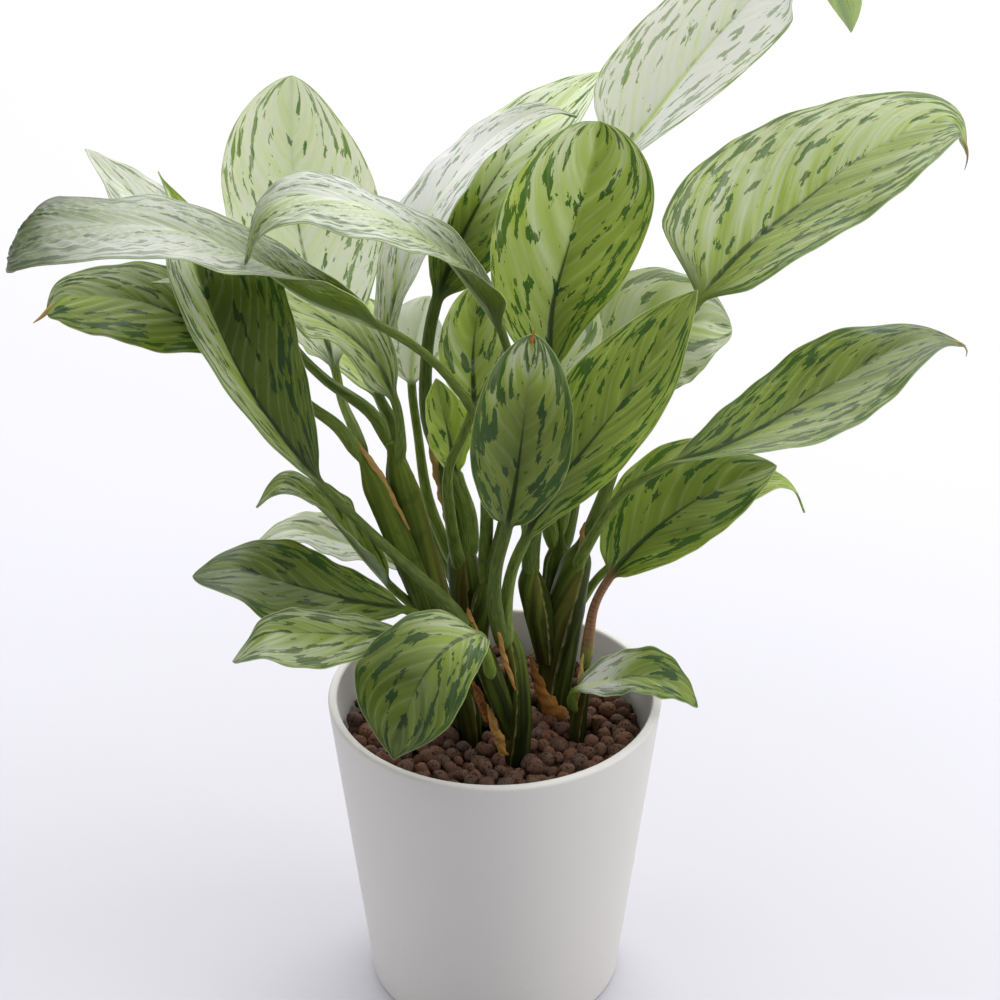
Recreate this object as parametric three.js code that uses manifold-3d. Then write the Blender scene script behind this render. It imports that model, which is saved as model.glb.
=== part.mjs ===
// A chinese evergreen in a round tapered planter filled with clay pebbles.
// Millimetres, +Z up. The origin is the centre of the pot's flat underside, and the best side faces -Y.

import * as THREE from "three";
import { mergeVertices } from "three/addons/utils/BufferGeometryUtils.js";
import Module from "manifold-3d";

const wasm = await Module();
wasm.setup();

// Pot
const POT_HEIGHT = 178.5;
const POT_TOP_RADIUS = 90;
const POT_BASE_RADIUS = 68.7;
const POT_WALL = 5;
const POT_FLOOR = 6;
const POT_LIP_ROUND = 1.6;
const POT_FOOT_ROUND = 3;
const POT_SIDES = 40;
// How far the middle of a quarter round lies from each of its two sides, as a share of its radius.
const ROUND_MIDDLE = 1 - Math.SQRT1_2;

// Filling of clay pebbles
const FILLING_GAP = 0.5;
const FILLING_FOOT = 4;
const PEBBLE_LEVEL = 155;
const PEBBLE_RADIUS_LEAST = 6.8;
const PEBBLE_RADIUS_MOST = 8.6;
const PEBBLE_PITCH = 15.2;
const PEBBLE_NUDGE = 0.3;
const PEBBLE_SINK = 2;
const PEBBLE_SEED = 20531;

// Shoots, petioles and blades
const SEAT_GAP = 0.35;
const SHOOT_SIDES = 8;
const SHOOT_STEP = 26;
const PETIOLE_STATIONS = 5;
const BLADE_STATIONS = 11;
const BLADE_THICKNESS = 0.9;
const RIB_DEPTH = 1.1;
const PETIOLE_RADIUS = 2.5;
const BLADE_START_RADIUS = 1.9;
const ROUND_TO_FLAT = 0.1;
const TIP_HALF_WIDTH = 0.8;
const EDGE_WAVE = 1.5;
const EDGE_WAVES = 2.3;
const WAVE_OFFSET = 2.1;
const LINE_DIVISIONS = 400;
const SECTION_SIDES = 10;
// The quads below the blade, which are cut along the other diagonal, so that both faces are split alike.
const BACK_QUADS = [5, 6, 7, 8];
const MERGE_WITHIN = 1e-4;

const COLOURS = {
  pot: 0xecebe8,
  pebbles: 0x5a4038,
  shoot: 0x4f6b35,
  leaf: 0x7f9a5f,
};

// A shoot is a few tapered limbs grown together: each point is x, y, z and the limb's radius there.
const SHOOTS = {
  front: [
    [
      [11, -24, 113, 6.5], [12, -24, 157, 7], [13, -25, 181, 6.5],
      [12, -26, 204, 6], [9, -28, 225, 6], [3, -30, 246, 5.2],
    ],
    [[10, -25, 168, 5], [3, -30, 194, 5.5], [-3, -34, 215, 5.8], [-9, -36, 234, 5.4], [-13, -38, 247, 4.4]],
  ],
  left: [
    [
      [-14, 2, 114, 7], [-15, 2, 158, 8], [-20, 3, 185, 9], [-25, 2, 211, 8.5],
      [-33, 0, 250, 7.5], [-42, -2, 288, 7], [-49, -3, 315, 7], [-54, -3, 334, 6],
    ],
    [[-25, 1, 205, 7], [-38, -5, 244, 7], [-51, -9, 283, 6.5], [-62, -11, 315, 6.4], [-69, -11, 332, 5.4]],
  ],
  middle: [
    [
      [-7, 27, 111, 6], [-10, 27, 145, 6.5], [-13, 26, 172, 7],
      [-15, 24, 198, 6.8], [-19, 21, 238, 6.6], [-22, 20, 266, 5.6],
    ],
    [[-12, 24, 175, 6], [-9, 15, 210, 5.5], [-6, 7, 236, 5.4], [-5, 3, 252, 5]],
  ],
  right: [
    [
      [32, 20, 111, 8], [32, 20, 158, 8.5], [33, 20, 187, 8.5],
      [36, 17, 221, 8], [42, 12, 252, 7], [47, 6, 274, 5.6],
    ],
    [[33, 22, 192, 7], [33, 28, 221, 7.4], [34, 32, 244, 7], [35, 34, 262, 6]],
    [[31, 17, 195, 6.5], [25, 13, 224, 6], [19, 10, 245, 5], [15, 8, 257, 4.4]],
  ],
  side: [
    [[47, -3, 113, 4], [45, -3, 160, 4.6], [47, -2, 182, 4.6], [49, 0, 197, 4]],
  ],
};

// The leaves. petiole runs from the foot in the shoot to just below the blade, rib from the blade's base to
// its tip, and facing is the way the upper side looks at the base, the middle and the tip. fold is how far
// each half rises from flat at the same three places, in degrees. widest is how far up the blade its left and
// right edges stand furthest out, halves the share of the width on each side, and blunt how soon base and tip
// fill out: below 1 is round, 1 is pointed.
const LEAVES = {
  far_left: {
    shoot: "middle",
    petiole: [[-9, 6, 241], [-4, -9, 298], [-8, -24, 356], [-27, -33, 393]],
    rib: [
      [-50, -40, 416], [-89, -48, 438], [-121, -55, 465], [-153, -62, 481],
      [-188, -66, 486], [-213, -66, 486], [-227, -62, 476], [-226, -58, 461],
    ],
    facing: [[0, -0.1, 1], [0, -0.1, 1], [-0.8, 0, 0.6]],
    width: 80, fold: [55, 4, -8], widest: [0.5, 0.5], halves: [1.1, 0.95], blunt: [0.95, 0.6],
  },
  left_behind: {
    shoot: "left",
    petiole: [[-54, -2, 325], [-62, 4, 346], [-87, 12, 363], [-102, 20, 376]],
    rib: [[-112, 28, 391], [-140, 42, 413], [-168, 52, 433], [-191, 58, 451], [-208, 60, 470]],
    facing: [[0.2, 0, 0.9], [0.1, 0, 1], [-0.2, 0, 1]],
    width: 52, fold: [30, 16, 8], widest: [0.62, 0.62], halves: [1, 0.6], blunt: [1.2, 0.75],
  },
  hanging: {
    shoot: "front",
    petiole: [[-13, -36, 237], [-22, -41, 258], [-48, -48, 291], [-70, -52, 318]],
    rib: [
      [-84, -54, 335], [-107, -56, 370], [-123, -52, 397], [-141, -36, 430],
      [-154, -12, 455], [-163, 4, 478],
    ],
    facing: [[0.5, -0.6, 0.6], [0.5, -0.6, 0.6], [0.3, -0.6, 0.7]],
    width: 68, fold: [30, 28, 12], widest: [0.58, 0.58], halves: [0.68, 1.1], blunt: [1, 0.75],
  },
  left_low_tip: {
    shoot: "left",
    petiole: [[-67, -13, 324], [-79, -13, 348], [-92, -14, 360], [-105, -18, 375]],
    rib: [
      [-116, -20, 389], [-134, -22, 405], [-155, -22, 416], [-175, -20, 423],
      [-197, -16, 424], [-214, -14, 422], [-230, -12, 408],
    ],
    facing: [[0.1, -0.4, 0.8], [0, -0.5, 0.9], [-0.4, -0.4, 0.8]],
    width: 64, fold: [30, 12, 5], widest: [0.5, 0.4], halves: [1.1, 0.58], blunt: [0.8, 0.75],
  },
  upright_left: {
    shoot: "left",
    petiole: [[-65, -8, 321], [-72, 12, 332], [-80, 34, 340]],
    rib: [[-84, 44, 350], [-95, 54, 382], [-105, 66, 420], [-108, 74, 463], [-107, 77, 503]],
    facing: [[-0.2, -0.8, 0.6], [-0.1, -0.8, 0.6], [-0.1, -0.6, 0.8]],
    width: 86, fold: [30, 12, 8], widest: [0.5, 0.5], halves: [0.9, 1.12], blunt: [0.8, 0.7],
  },
  left_inner: {
    shoot: "left",
    petiole: [[-50, -7, 318], [-48, -8, 338]],
    rib: [
      [-50, -8, 359], [-60, -3, 380], [-77, 1, 396], [-99, 0, 407],
      [-124, -7, 421], [-147, -16, 432], [-168, -26, 436],
    ],
    facing: [[-0.3, -0.3, 0.9], [0, -0.1, 0.9], [-0.1, 0, 0.9]],
    width: 54, fold: [45, 16, 8], widest: [0.42, 0.42], halves: [1.2, 0.72], blunt: [0.8, 1.1],
  },
  curling: {
    shoot: "middle",
    petiole: [[-3, 4, 243], [6, -16, 300], [9, -25, 350], [8, -28, 390]],
    rib: [
      [4, -30, 411], [-10, -36, 437], [-26, -44, 462], [-45, -54, 481],
      [-68, -64, 496], [-91, -70, 502], [-108, -74, 495], [-118, -74, 468],
    ],
    facing: [[0.7, 0.1, 0.7], [0.1, -0.2, 1], [-0.8, -0.1, 0.4]],
    width: 54, fold: [60, 0, 0], widest: [0.62, 0.62], halves: [1.1, 0.8], blunt: [0.6, 0.75],
  },
  silver_arch: {
    shoot: "left",
    petiole: [[-46, 2, 311], [-52, 10, 337], [-60, 17, 353]],
    rib: [
      [-58, 20, 369], [-49, 28, 406], [-37, 36, 437], [-19, 44, 463],
      [3, 52, 482], [26, 60, 491], [42, 64, 486],
    ],
    facing: [[-0.5, -0.4, 0.7], [-0.5, -0.2, 0.8], [-0.1, 0.1, 1]],
    width: 54, fold: [30, 12, 8], widest: [0.5, 0.5], halves: [0.8, 1], blunt: [0.8, 0.75],
  },
  shaded_arch: {
    shoot: "middle",
    petiole: [[-23, 21, 257], [-27, 30, 303], [-35, 36, 326], [-36, 44, 352]],
    rib: [[-31, 54, 384], [-13, 66, 426], [11, 78, 462], [34, 88, 482], [55, 94, 498]],
    facing: [[0.3, -0.7, 0.6], [-0.1, -0.4, 0.8], [0.1, -0.2, 0.9]],
    width: 70, fold: [30, 16, 8], widest: [0.5, 0.5], halves: [0.72, 1], blunt: [0.8, 0.75],
  },
  top: {
    shoot: "right",
    petiole: [[36, 34, 253], [44, 46, 321], [51, 54, 382], [55, 60, 425]],
    rib: [
      [60, 62, 457], [75, 62, 479], [99, 58, 516], [118, 52, 544],
      [135, 46, 568], [150, 40, 579], [164, 34, 570], [174, 32, 545],
    ],
    facing: [[-0.2, -0.5, 0.7], [-0.2, -0.5, 0.8], [0.7, -0.1, 0.5]],
    width: 84, fold: [26, 12, 8], widest: [0.28, 0.55], halves: [0.8, 0.85], blunt: [0.8, 0.75],
  },
  front_small: {
    shoot: "front",
    petiole: [[2, -32, 236], [-2, -43, 265], [1, -50, 289]],
    rib: [[6, -54, 312], [10, -58, 337], [14, -60, 372], [17, -58, 402], [19, -54, 422]],
    facing: [[0, -0.9, 0.4], [0, -0.9, 0.5], [0, -0.7, 0.6]],
    width: 56, fold: [35, 28, 12], widest: [0.52, 0.52], halves: [1, 1], blunt: [0.8, 0.6],
  },
  centre: {
    shoot: "right",
    petiole: [[17, 9, 247], [20, 7, 275], [27, 4, 320], [29, 1, 350]],
    rib: [[28, 0, 370], [29, -1, 409], [37, 2, 443], [46, 10, 475], [52, 20, 502]],
    facing: [[0, -0.9, 0.5], [0, -0.8, 0.5], [0, -0.6, 0.7]],
    width: 80, fold: [22, 12, 8], widest: [0.55, 0.66], halves: [1, 0.93], blunt: [0.95, 0.6],
  },
  slanting: {
    shoot: "front",
    petiole: [[7, -27, 234], [8, -34, 261], [10, -38, 281]],
    rib: [
      [14, -40, 294], [30, -44, 330], [51, -44, 361], [71, -38, 388],
      [86, -30, 411], [100, -22, 430],
    ],
    facing: [[-0.3, -0.8, 0.5], [-0.2, -0.8, 0.6], [-0.2, -0.7, 0.6]],
    width: 60, fold: [35, 20, 10], widest: [0.54, 0.5], halves: [1, 0.82], blunt: [1, 0.85],
  },
  right_upper: {
    shoot: "right",
    petiole: [[48, 8, 264], [57, 0, 302], [68, -4, 342], [85, 0, 380]],
    rib: [
      [102, 6, 409], [125, 22, 430], [155, 42, 447], [187, 62, 461],
      [219, 80, 474], [237, 88, 473], [246, 90, 454],
    ],
    facing: [[-0.3, -0.6, 0.7], [-0.3, -0.5, 0.8], [0.3, -0.2, 0.8]],
    width: 88, fold: [25, 12, 6], widest: [0.3, 0.5], halves: [1.06, 0.84], blunt: [0.4, 0.95],
  },
  right_lower: {
    shoot: "right",
    petiole: [[42, 9, 250], [52, -8, 284], [65, -18, 312]],
    rib: [
      [86, -22, 330], [111, -16, 336], [138, -2, 343], [170, 16, 355],
      [202, 30, 368], [226, 38, 373], [245, 42, 367],
    ],
    facing: [[-0.2, -0.2, 0.9], [-0.1, -0.3, 0.9], [0.1, 0.1, 1]],
    width: 70, fold: [35, 14, 6], widest: [0.58, 0.48], halves: [0.78, 1], blunt: [0.8, 0.75],
  },
  low_right: {
    shoot: "side",
    petiole: [[48.5, -0.6, 188], [50, 2, 211], [53, 4, 231]],
    rib: [[60, 6, 246], [79, 8, 270], [100, 14, 286], [124, 22, 296], [149, 32, 301]],
    facing: [[-0.3, -0.8, 0.6], [-0.3, -0.7, 0.6], [-0.2, -0.4, 0.8]],
    width: 70, fold: [28, 12, 8], widest: [0.5, 0.5], halves: [1, 0.72], blunt: [0.8, 0.75],
  },
  low_right_behind: {
    shoot: "right",
    petiole: [[38, 21, 208], [48, 32, 219]],
    rib: [
      [58, 36, 232], [84, 42, 250], [114, 49, 266], [138, 54, 276],
      [153, 59, 277], [163, 63, 268], [169, 64, 254],
    ],
    facing: [[-0.2, -0.5, 0.7], [0, -0.3, 0.9], [0.6, -0.1, 0.6]],
    width: 34, fold: [30, 16, 8], widest: [0.4, 0.4], halves: [1, 1], blunt: [0.8, 1.7],
  },
  pale_behind: {
    shoot: "right",
    petiole: [[38, 31, 240], [42, 46, 270], [46, 60, 297]],
    rib: [[56, 66, 317], [69, 72, 338], [86, 78, 354], [109, 84, 360], [127, 88, 354]],
    facing: [[-0.3, -0.6, 0.7], [-0.1, -0.6, 0.8], [0.2, -0.3, 0.9]],
    width: 76, fold: [30, 16, 8], widest: [0.52, 0.52], halves: [1, 1], blunt: [0.8, 0.6],
  },
  pale_strip: {
    shoot: "right",
    petiole: [[31, 31, 243], [27, 36, 280], [28, 38, 312]],
    rib: [[29, 38, 338], [32, 36, 371], [35, 37, 396], [42, 40, 416]],
    facing: [[0.3, -0.7, 0.5], [0.3, -0.7, 0.5], [0.3, -0.5, 0.7]],
    width: 46, fold: [30, 16, 8], widest: [0.5, 0.5], halves: [1, 1], blunt: [0.8, 0.75],
  },
  upright_pale: {
    shoot: "middle",
    petiole: [[-19, 17, 246], [-23, 8, 277], [-24, 2, 315], [-16, -2, 338]],
    rib: [[-11, -4, 355], [-11, -4, 382], [-9, 0, 404], [-5, 6, 423]],
    facing: [[0.1, -0.9, 0.5], [0.1, -0.8, 0.6], [0.1, -0.6, 0.7]],
    width: 40, fold: [35, 25, 15], widest: [0.5, 0.5], halves: [1, 0.8], blunt: [0.8, 0.75],
  },
  bright_inner: {
    shoot: "middle",
    petiole: [[-17, 22, 242], [-19, 24, 275]],
    rib: [[-21, 22, 300], [-24, 20, 326], [-28, 18, 346], [-30, 18, 360]],
    facing: [[0.4, -0.8, 0.4], [0.3, -0.8, 0.4], [0.2, -0.7, 0.6]],
    width: 26, fold: [30, 16, 8], widest: [0.5, 0.5], halves: [1, 1], blunt: [0.8, 0.75],
  },
  far_grey: {
    shoot: "middle",
    petiole: [[-21, 24, 233], [-35, 42, 272], [-41, 54, 308]],
    rib: [[-44, 60, 334], [-43, 66, 352], [-39, 70, 367], [-34, 72, 381]],
    facing: [[0, -0.6, 0.8], [0, -0.4, 0.8], [0, -0.3, 0.9]],
    width: 36, fold: [30, 16, 8], widest: [0.5, 0.5], halves: [1, 1], blunt: [0.8, 0.75],
  },
  low_curled: {
    shoot: "left",
    petiole: [[-29, -1, 222], [-43, -5, 237]],
    rib: [
      [-54, -6, 249], [-67, -9, 268], [-80, -12, 289], [-94, -12, 305],
      [-109, -12, 314], [-123, -12, 301],
    ],
    facing: [[0.2, -0.2, 0.9], [0.2, 0, 0.9], [-0.5, 0, 0.8]],
    width: 34, fold: [50, 25, 5], widest: [0.5, 0.5], halves: [1, 1], blunt: [0.8, 0.75],
  },
  low_pale: {
    shoot: "left",
    petiole: [[-27, 7, 220], [-36, 15, 231]],
    rib: [[-45, 19, 241], [-64, 18, 254], [-86, 16, 265], [-107, 14, 272], [-126, 12, 265]],
    facing: [[0.1, -0.1, 1], [0, -0.1, 1], [-0.4, -0.1, 0.9]],
    width: 42, fold: [30, 16, 8], widest: [0.5, 0.5], halves: [1.1, 0.75], blunt: [0.8, 0.75],
  },
  low_dark: {
    shoot: "left",
    petiole: [[-22, -3, 206], [-33, -11, 228]],
    rib: [
      [-44, -16, 240], [-65, -20, 247], [-88, -24, 256], [-112, -27, 266],
      [-134, -28, 273], [-156, -28, 269],
    ],
    facing: [[0.1, -0.3, 0.9], [0, -0.4, 0.9], [-0.2, 0, 0.9]],
    width: 60, fold: [30, 12, 4], widest: [0.5, 0.5], halves: [1.15, 0.75], blunt: [0.8, 0.75],
  },
  low_front_left: {
    shoot: "front",
    petiole: [[-8, -38, 222], [-21, -45, 238]],
    rib: [
      [-34, -50, 248], [-55, -58, 253], [-76, -65, 257], [-98, -70, 261],
      [-117, -72, 261], [-131, -72, 249],
    ],
    facing: [[0.1, -0.3, 1], [0, -0.3, 0.9], [-0.5, 0, 0.8]],
    width: 48, fold: [30, 12, 4], widest: [0.6, 0.6], halves: [1.2, 0.62], blunt: [1.6, 0.75],
  },
  rim_drooping: {
    shoot: "front",
    petiole: [[-2, -35, 208], [-3, -46, 226], [-5, -55, 242]],
    rib: [[-7, -60, 253], [-21, -79, 260], [-35, -96, 252], [-45, -105, 232], [-51, -108, 208]],
    facing: [[-0.1, -0.4, 0.9], [-0.3, -0.6, 0.7], [-0.3, -0.9, 0.3]],
    width: 60, fold: [20, 10, 6], widest: [0.45, 0.5], halves: [0.92, 1.04], blunt: [0.7, 0.75],
  },
  rim_right: {
    shoot: "side",
    petiole: [[45, -4, 167], [41, -11, 181]],
    rib: [[43, -14, 189], [59, -16, 196], [77, -18, 201], [96, -20, 196], [108, -22, 184]],
    facing: [[0, -0.3, 0.9], [0.1, -0.3, 0.9], [0.5, -0.2, 0.8]],
    width: 44, fold: [20, 14, 6], widest: [0.5, 0.5], halves: [0.8, 0.7], blunt: [0.7, 0.75],
  },
  back_high: {
    shoot: "right",
    petiole: [[34, 35, 231], [34, 60, 276], [32, 76, 302]],
    rib: [[31, 86, 318], [33, 108, 349], [39, 126, 376], [46, 138, 398]],
    facing: [[0, 0, 1], [0, 0.1, 1], [0, 0.2, 0.9]],
    width: 60, fold: [30, 16, 8], widest: [0.5, 0.5], halves: [1, 1], blunt: [0.8, 0.75],
  },
  back_left: {
    shoot: "middle",
    petiole: [[-17, 27, 216], [-36, 44, 262], [-52, 58, 296]],
    rib: [[-62, 72, 319], [-77, 96, 337], [-90, 116, 351], [-100, 130, 362]],
    facing: [[0, 0.1, 0.9], [0, 0.1, 1], [0, 0.2, 0.9]],
    width: 66, fold: [30, 16, 8], widest: [0.5, 0.5], halves: [1, 1], blunt: [0.8, 0.75],
  },
};

// A repeatable random draw between 0 and 1.
function randomFrom(seed) {
  let state = seed;
  return () => {
    state = (state + 0x6d2b79f5) | 0;
    let t = Math.imul(state ^ (state >>> 15), 1 | state);
    t = (t + Math.imul(t ^ (t >>> 7), 61 | t)) ^ t;
    return ((t ^ (t >>> 14)) >>> 0) / 4294967296;
  };
}

const vector = (p) => new THREE.Vector3(p[0], p[1], p[2]);

// Turns a closed three.js geometry into a solid that can be joined and cut.
function toSolid(geometry) {
  const bare = geometry.index ? geometry.toNonIndexed() : geometry.clone();
  bare.deleteAttribute("normal");
  bare.deleteAttribute("uv");
  const merged = mergeVertices(bare, MERGE_WITHIN);
  return new wasm.Manifold(
    new wasm.Mesh({
      numProp: 3,
      vertProperties: new Float32Array(merged.attributes.position.array),
      triVerts: new Uint32Array(merged.index.array),
    }),
  );
}

// Turns a solid back into a three.js geometry.
function toGeometry(solid) {
  const mesh = solid.getMesh();
  const geometry = new THREE.BufferGeometry();
  geometry.setAttribute("position", new THREE.BufferAttribute(mesh.vertProperties, 3));
  geometry.setIndex(new THREE.BufferAttribute(mesh.triVerts, 1));
  geometry.computeVertexNormals();
  return geometry;
}

// A closed geometry from rings of equally many points, each ring joined to the next and both ends capped.
// flips lists the places round the ring whose quads are cut along the other diagonal.
function ringsGeometry(rings, flips = []) {
  const sides = rings[0].length;
  const positions = rings.flat().flatMap((p) => [p.x, p.y, p.z]);
  const faces = [];
  for (let i = 0; i + 1 < rings.length; i += 1) {
    for (let j = 0; j < sides; j += 1) {
      const a = i * sides + j;
      const b = i * sides + ((j + 1) % sides);
      const c = b + sides;
      const d = a + sides;
      if (flips.includes(j)) faces.push(a, b, d, b, c, d);
      else faces.push(a, b, c, a, c, d);
    }
  }
  const last = (rings.length - 1) * sides;
  for (let j = 1; j + 1 < sides; j += 1) {
    faces.push(0, j + 1, j);
    faces.push(last, last + j, last + j + 1);
  }
  const geometry = new THREE.BufferGeometry();
  geometry.setAttribute("position", new THREE.Float32BufferAttribute(positions, 3));
  geometry.setIndex(faces);
  geometry.computeVertexNormals();
  return geometry;
}

// A value that runs smoothly from a over b, at the middle, to c.
function blendThree(a, b, c, s) {
  const early = THREE.MathUtils.smoothstep(s, 0, 0.5);
  const late = THREE.MathUtils.smoothstep(s, 0.5, 1);
  return a + (b - a) * early + (c - b) * late;
}

// A closed round tube along points that each carry a radius, with its side vectors carried along unturned.
function limbGeometry(points, extra = 0, endExtra = 0) {
  const curve = new THREE.CatmullRomCurve3(points.map(vector), false, "centripetal");
  const steps = Math.max(3, Math.ceil(curve.getLength() / SHOOT_STEP));
  const rings = [];
  let side = new THREE.Vector3(1, 0, 0);
  for (let i = 0; i <= steps; i += 1) {
    const t = i / steps;
    const along = t * (points.length - 1);
    const k = Math.min(points.length - 2, Math.floor(along));
    const radius = THREE.MathUtils.lerp(points[k][3], points[k + 1][3], along - k) + extra;
    const tangent = curve.getTangent(t);
    const centre = curve.getPoint(t);
    if (i === 0) centre.addScaledVector(tangent, -endExtra);
    side = side.clone().addScaledVector(tangent, -side.dot(tangent)).normalize();
    const up = new THREE.Vector3().crossVectors(tangent, side);
    const ring = [];
    for (let j = 0; j < SHOOT_SIDES; j += 1) {
      const angle = (2 * Math.PI * j) / SHOOT_SIDES;
      const point = centre.clone().addScaledVector(side, radius * Math.cos(angle));
      ring.push(point.addScaledVector(up, radius * Math.sin(angle)));
    }
    rings.push(ring);
  }
  return ringsGeometry(rings);
}

// Half the blade's width at s, from 0 at the base to 1 at the tip, as a share of its greatest.
function outline(s, widest, blunt) {
  if (s < widest) return Math.sin((0.5 * Math.PI * s) / widest) ** blunt[0];
  return Math.max(0, Math.cos((0.5 * Math.PI * (s - widest)) / (1 - widest))) ** blunt[1];
}

// The line of a leaf from foot to tip, with where the blade starts along it.
function leafLine(leaf) {
  const points = [...leaf.petiole, ...leaf.rib].map(vector);
  const curve = new THREE.CatmullRomCurve3(points, false, "centripetal");
  curve.arcLengthDivisions = LINE_DIVISIONS;
  const baseT = leaf.petiole.length / (points.length - 1);
  const lengths = curve.getLengths();
  const at = baseT * curve.arcLengthDivisions;
  const low = Math.floor(at);
  const high = Math.min(low + 1, curve.arcLengthDivisions);
  const baseLength = lengths[low] + (lengths[high] - lengths[low]) * (at - low);
  return { curve, baseU: baseLength / lengths[lengths.length - 1] };
}

// The upper side's direction along the blade, square to the rib, at share s of the blade.
function bladeNormal(leaf, tangent, s) {
  const [a, b, c] = leaf.facing.map((f) => vector(f).normalize());
  const n = new THREE.Vector3(
    blendThree(a.x, b.x, c.x, s),
    blendThree(a.y, b.y, c.y, s),
    blendThree(a.z, b.z, c.z, s),
  );
  return n.addScaledVector(tangent, -n.dot(tangent)).normalize();
}

// A point of the folded blade's middle surface, t of the way from the rib to the left or right edge.
function bladePoint(t, left, right, fold, leftWave, rightWave) {
  const half = t < 0 ? left : right;
  const wave = (t < 0 ? leftWave : rightWave) * t * t;
  return [half * t * Math.cos(fold), half * Math.abs(t) * Math.sin(fold) + wave];
}

// The ten points of a petiole's or blade's section: five over the top from left to right, then five back
// below. share runs from 0, a round petiole of the given radius, to 1, a folded blade with halves of left
// and right, whose edges stand up or down by their waves.
function sectionPoints(share, radius, left, right, fold, leftWave, rightWave) {
  const across = [-1, -0.5, 0, 0.5, 1];
  const lift = BLADE_THICKNESS / 2 / Math.cos(fold);
  const turn = (2 * Math.PI) / SECTION_SIDES;
  const points = [];
  across.forEach((t, i) => {
    const angle = Math.PI / 2 + (2 - i) * turn;
    const [x, middle] = bladePoint(t, left, right, fold, leftWave, rightWave);
    const y = middle + lift;
    points.push([
      THREE.MathUtils.lerp(radius * Math.cos(angle), x, share),
      THREE.MathUtils.lerp(radius * Math.sin(angle), y, share),
    ]);
  });
  across.toReversed().forEach((t, i) => {
    const angle = -Math.PI / 2 + (2 - i) * turn;
    const [x, middle] = bladePoint(t, left, right, fold, leftWave, rightWave);
    const y = middle - lift - (t === 0 ? RIB_DEPTH : 0);
    points.push([
      THREE.MathUtils.lerp(radius * Math.cos(angle), x, share),
      THREE.MathUtils.lerp(radius * Math.sin(angle), y, share),
    ]);
  });
  return points;
}

// One leaf as a closed surface: a round petiole that opens into the blade. grow widens the petiole, and with
// petioleOnly the blade is left off, which makes the plain hole that the petiole stands in.
function leafGeometry(leaf, grow = 0, petioleOnly = false) {
  const { curve, baseU } = leafLine(leaf);
  const stations = [];
  for (let i = 0; i <= PETIOLE_STATIONS; i += 1) stations.push((baseU * i) / PETIOLE_STATIONS);
  for (let i = 1; i <= BLADE_STATIONS; i += 1) {
    stations.push(THREE.MathUtils.lerp(baseU, 1, i / BLADE_STATIONS));
  }
  const tangents = stations.map((u) => curve.getTangentAt(u));
  const normals = [];
  for (let i = PETIOLE_STATIONS; i < stations.length; i += 1) {
    normals[i] = bladeNormal(leaf, tangents[i], (stations[i] - baseU) / (1 - baseU));
  }
  for (let i = PETIOLE_STATIONS - 1; i >= 0; i -= 1) {
    const n = normals[i + 1].clone();
    normals[i] = n.addScaledVector(tangents[i], -n.dot(tangents[i])).normalize();
  }
  const count = petioleOnly ? PETIOLE_STATIONS + 1 : stations.length;
  const rings = [];
  for (let i = 0; i < count; i += 1) {
    const s = Math.max(0, (stations[i] - baseU) / (1 - baseU));
    const alongPetiole = Math.min(1, stations[i] / baseU);
    const radius = THREE.MathUtils.lerp(PETIOLE_RADIUS, BLADE_START_RADIUS, alongPetiole) + grow;
    const fold = THREE.MathUtils.degToRad(blendThree(...leaf.fold, s));
    const halves = leaf.widest.map((widest, k) =>
      Math.max(TIP_HALF_WIDTH, (leaf.width / 2) * leaf.halves[k] * outline(s, widest, leaf.blunt)),
    );
    const share = THREE.MathUtils.smoothstep(s, 0, ROUND_TO_FLAT);
    const waves = [0, 1].map((side) => {
      const phase = leaf.width + leaf.rib[0][0] + WAVE_OFFSET * side;
      return EDGE_WAVE * 4 * s * (1 - s) * Math.sin(2 * Math.PI * EDGE_WAVES * s + phase);
    });
    const centre = curve.getPointAt(stations[i]);
    if (i === 0) centre.addScaledVector(tangents[0], -grow);
    const across = new THREE.Vector3().crossVectors(tangents[i], normals[i]);
    rings.push(
      sectionPoints(share, radius, ...halves, fold, ...waves).map(([x, y]) =>
        centre.clone().addScaledVector(across, x).addScaledVector(normals[i], y),
      ),
    );
  }
  return ringsGeometry(rings, BACK_QUADS);
}

function makePot() {
  const slope = (POT_TOP_RADIUS - POT_BASE_RADIUS) / POT_HEIGHT;
  const outer = (z) => POT_BASE_RADIUS + slope * z;
  const inner = (z) => outer(z) - POT_WALL;
  const lip = POT_LIP_ROUND;
  const foot = POT_FOOT_ROUND;
  const profile = [
    [0, POT_FLOOR],
    [inner(POT_FLOOR) - foot, POT_FLOOR],
    [inner(POT_FLOOR + foot), POT_FLOOR + foot],
    [inner(POT_HEIGHT - lip), POT_HEIGHT - lip],
    [inner(POT_HEIGHT) + ROUND_MIDDLE * lip, POT_HEIGHT - ROUND_MIDDLE * lip],
    [inner(POT_HEIGHT) + lip, POT_HEIGHT],
    [outer(POT_HEIGHT) - lip, POT_HEIGHT],
    [outer(POT_HEIGHT) - ROUND_MIDDLE * lip, POT_HEIGHT - ROUND_MIDDLE * lip],
    [outer(POT_HEIGHT - lip), POT_HEIGHT - lip],
    [outer(foot), foot],
    [outer(0) - ROUND_MIDDLE * foot, ROUND_MIDDLE * foot],
    [outer(0) - foot, 0],
    [0, 0],
  ];
  const points = profile.reverse().map(([r, z]) => new THREE.Vector2(r, z));
  return toGeometry(toSolid(latheUpright(points, POT_SIDES)));
}

// A body of revolution about Z from a profile of radius and height.
function latheUpright(points, sides) {
  const geometry = new THREE.LatheGeometry(points, sides);
  geometry.rotateX(Math.PI / 2);
  return geometry;
}

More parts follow.
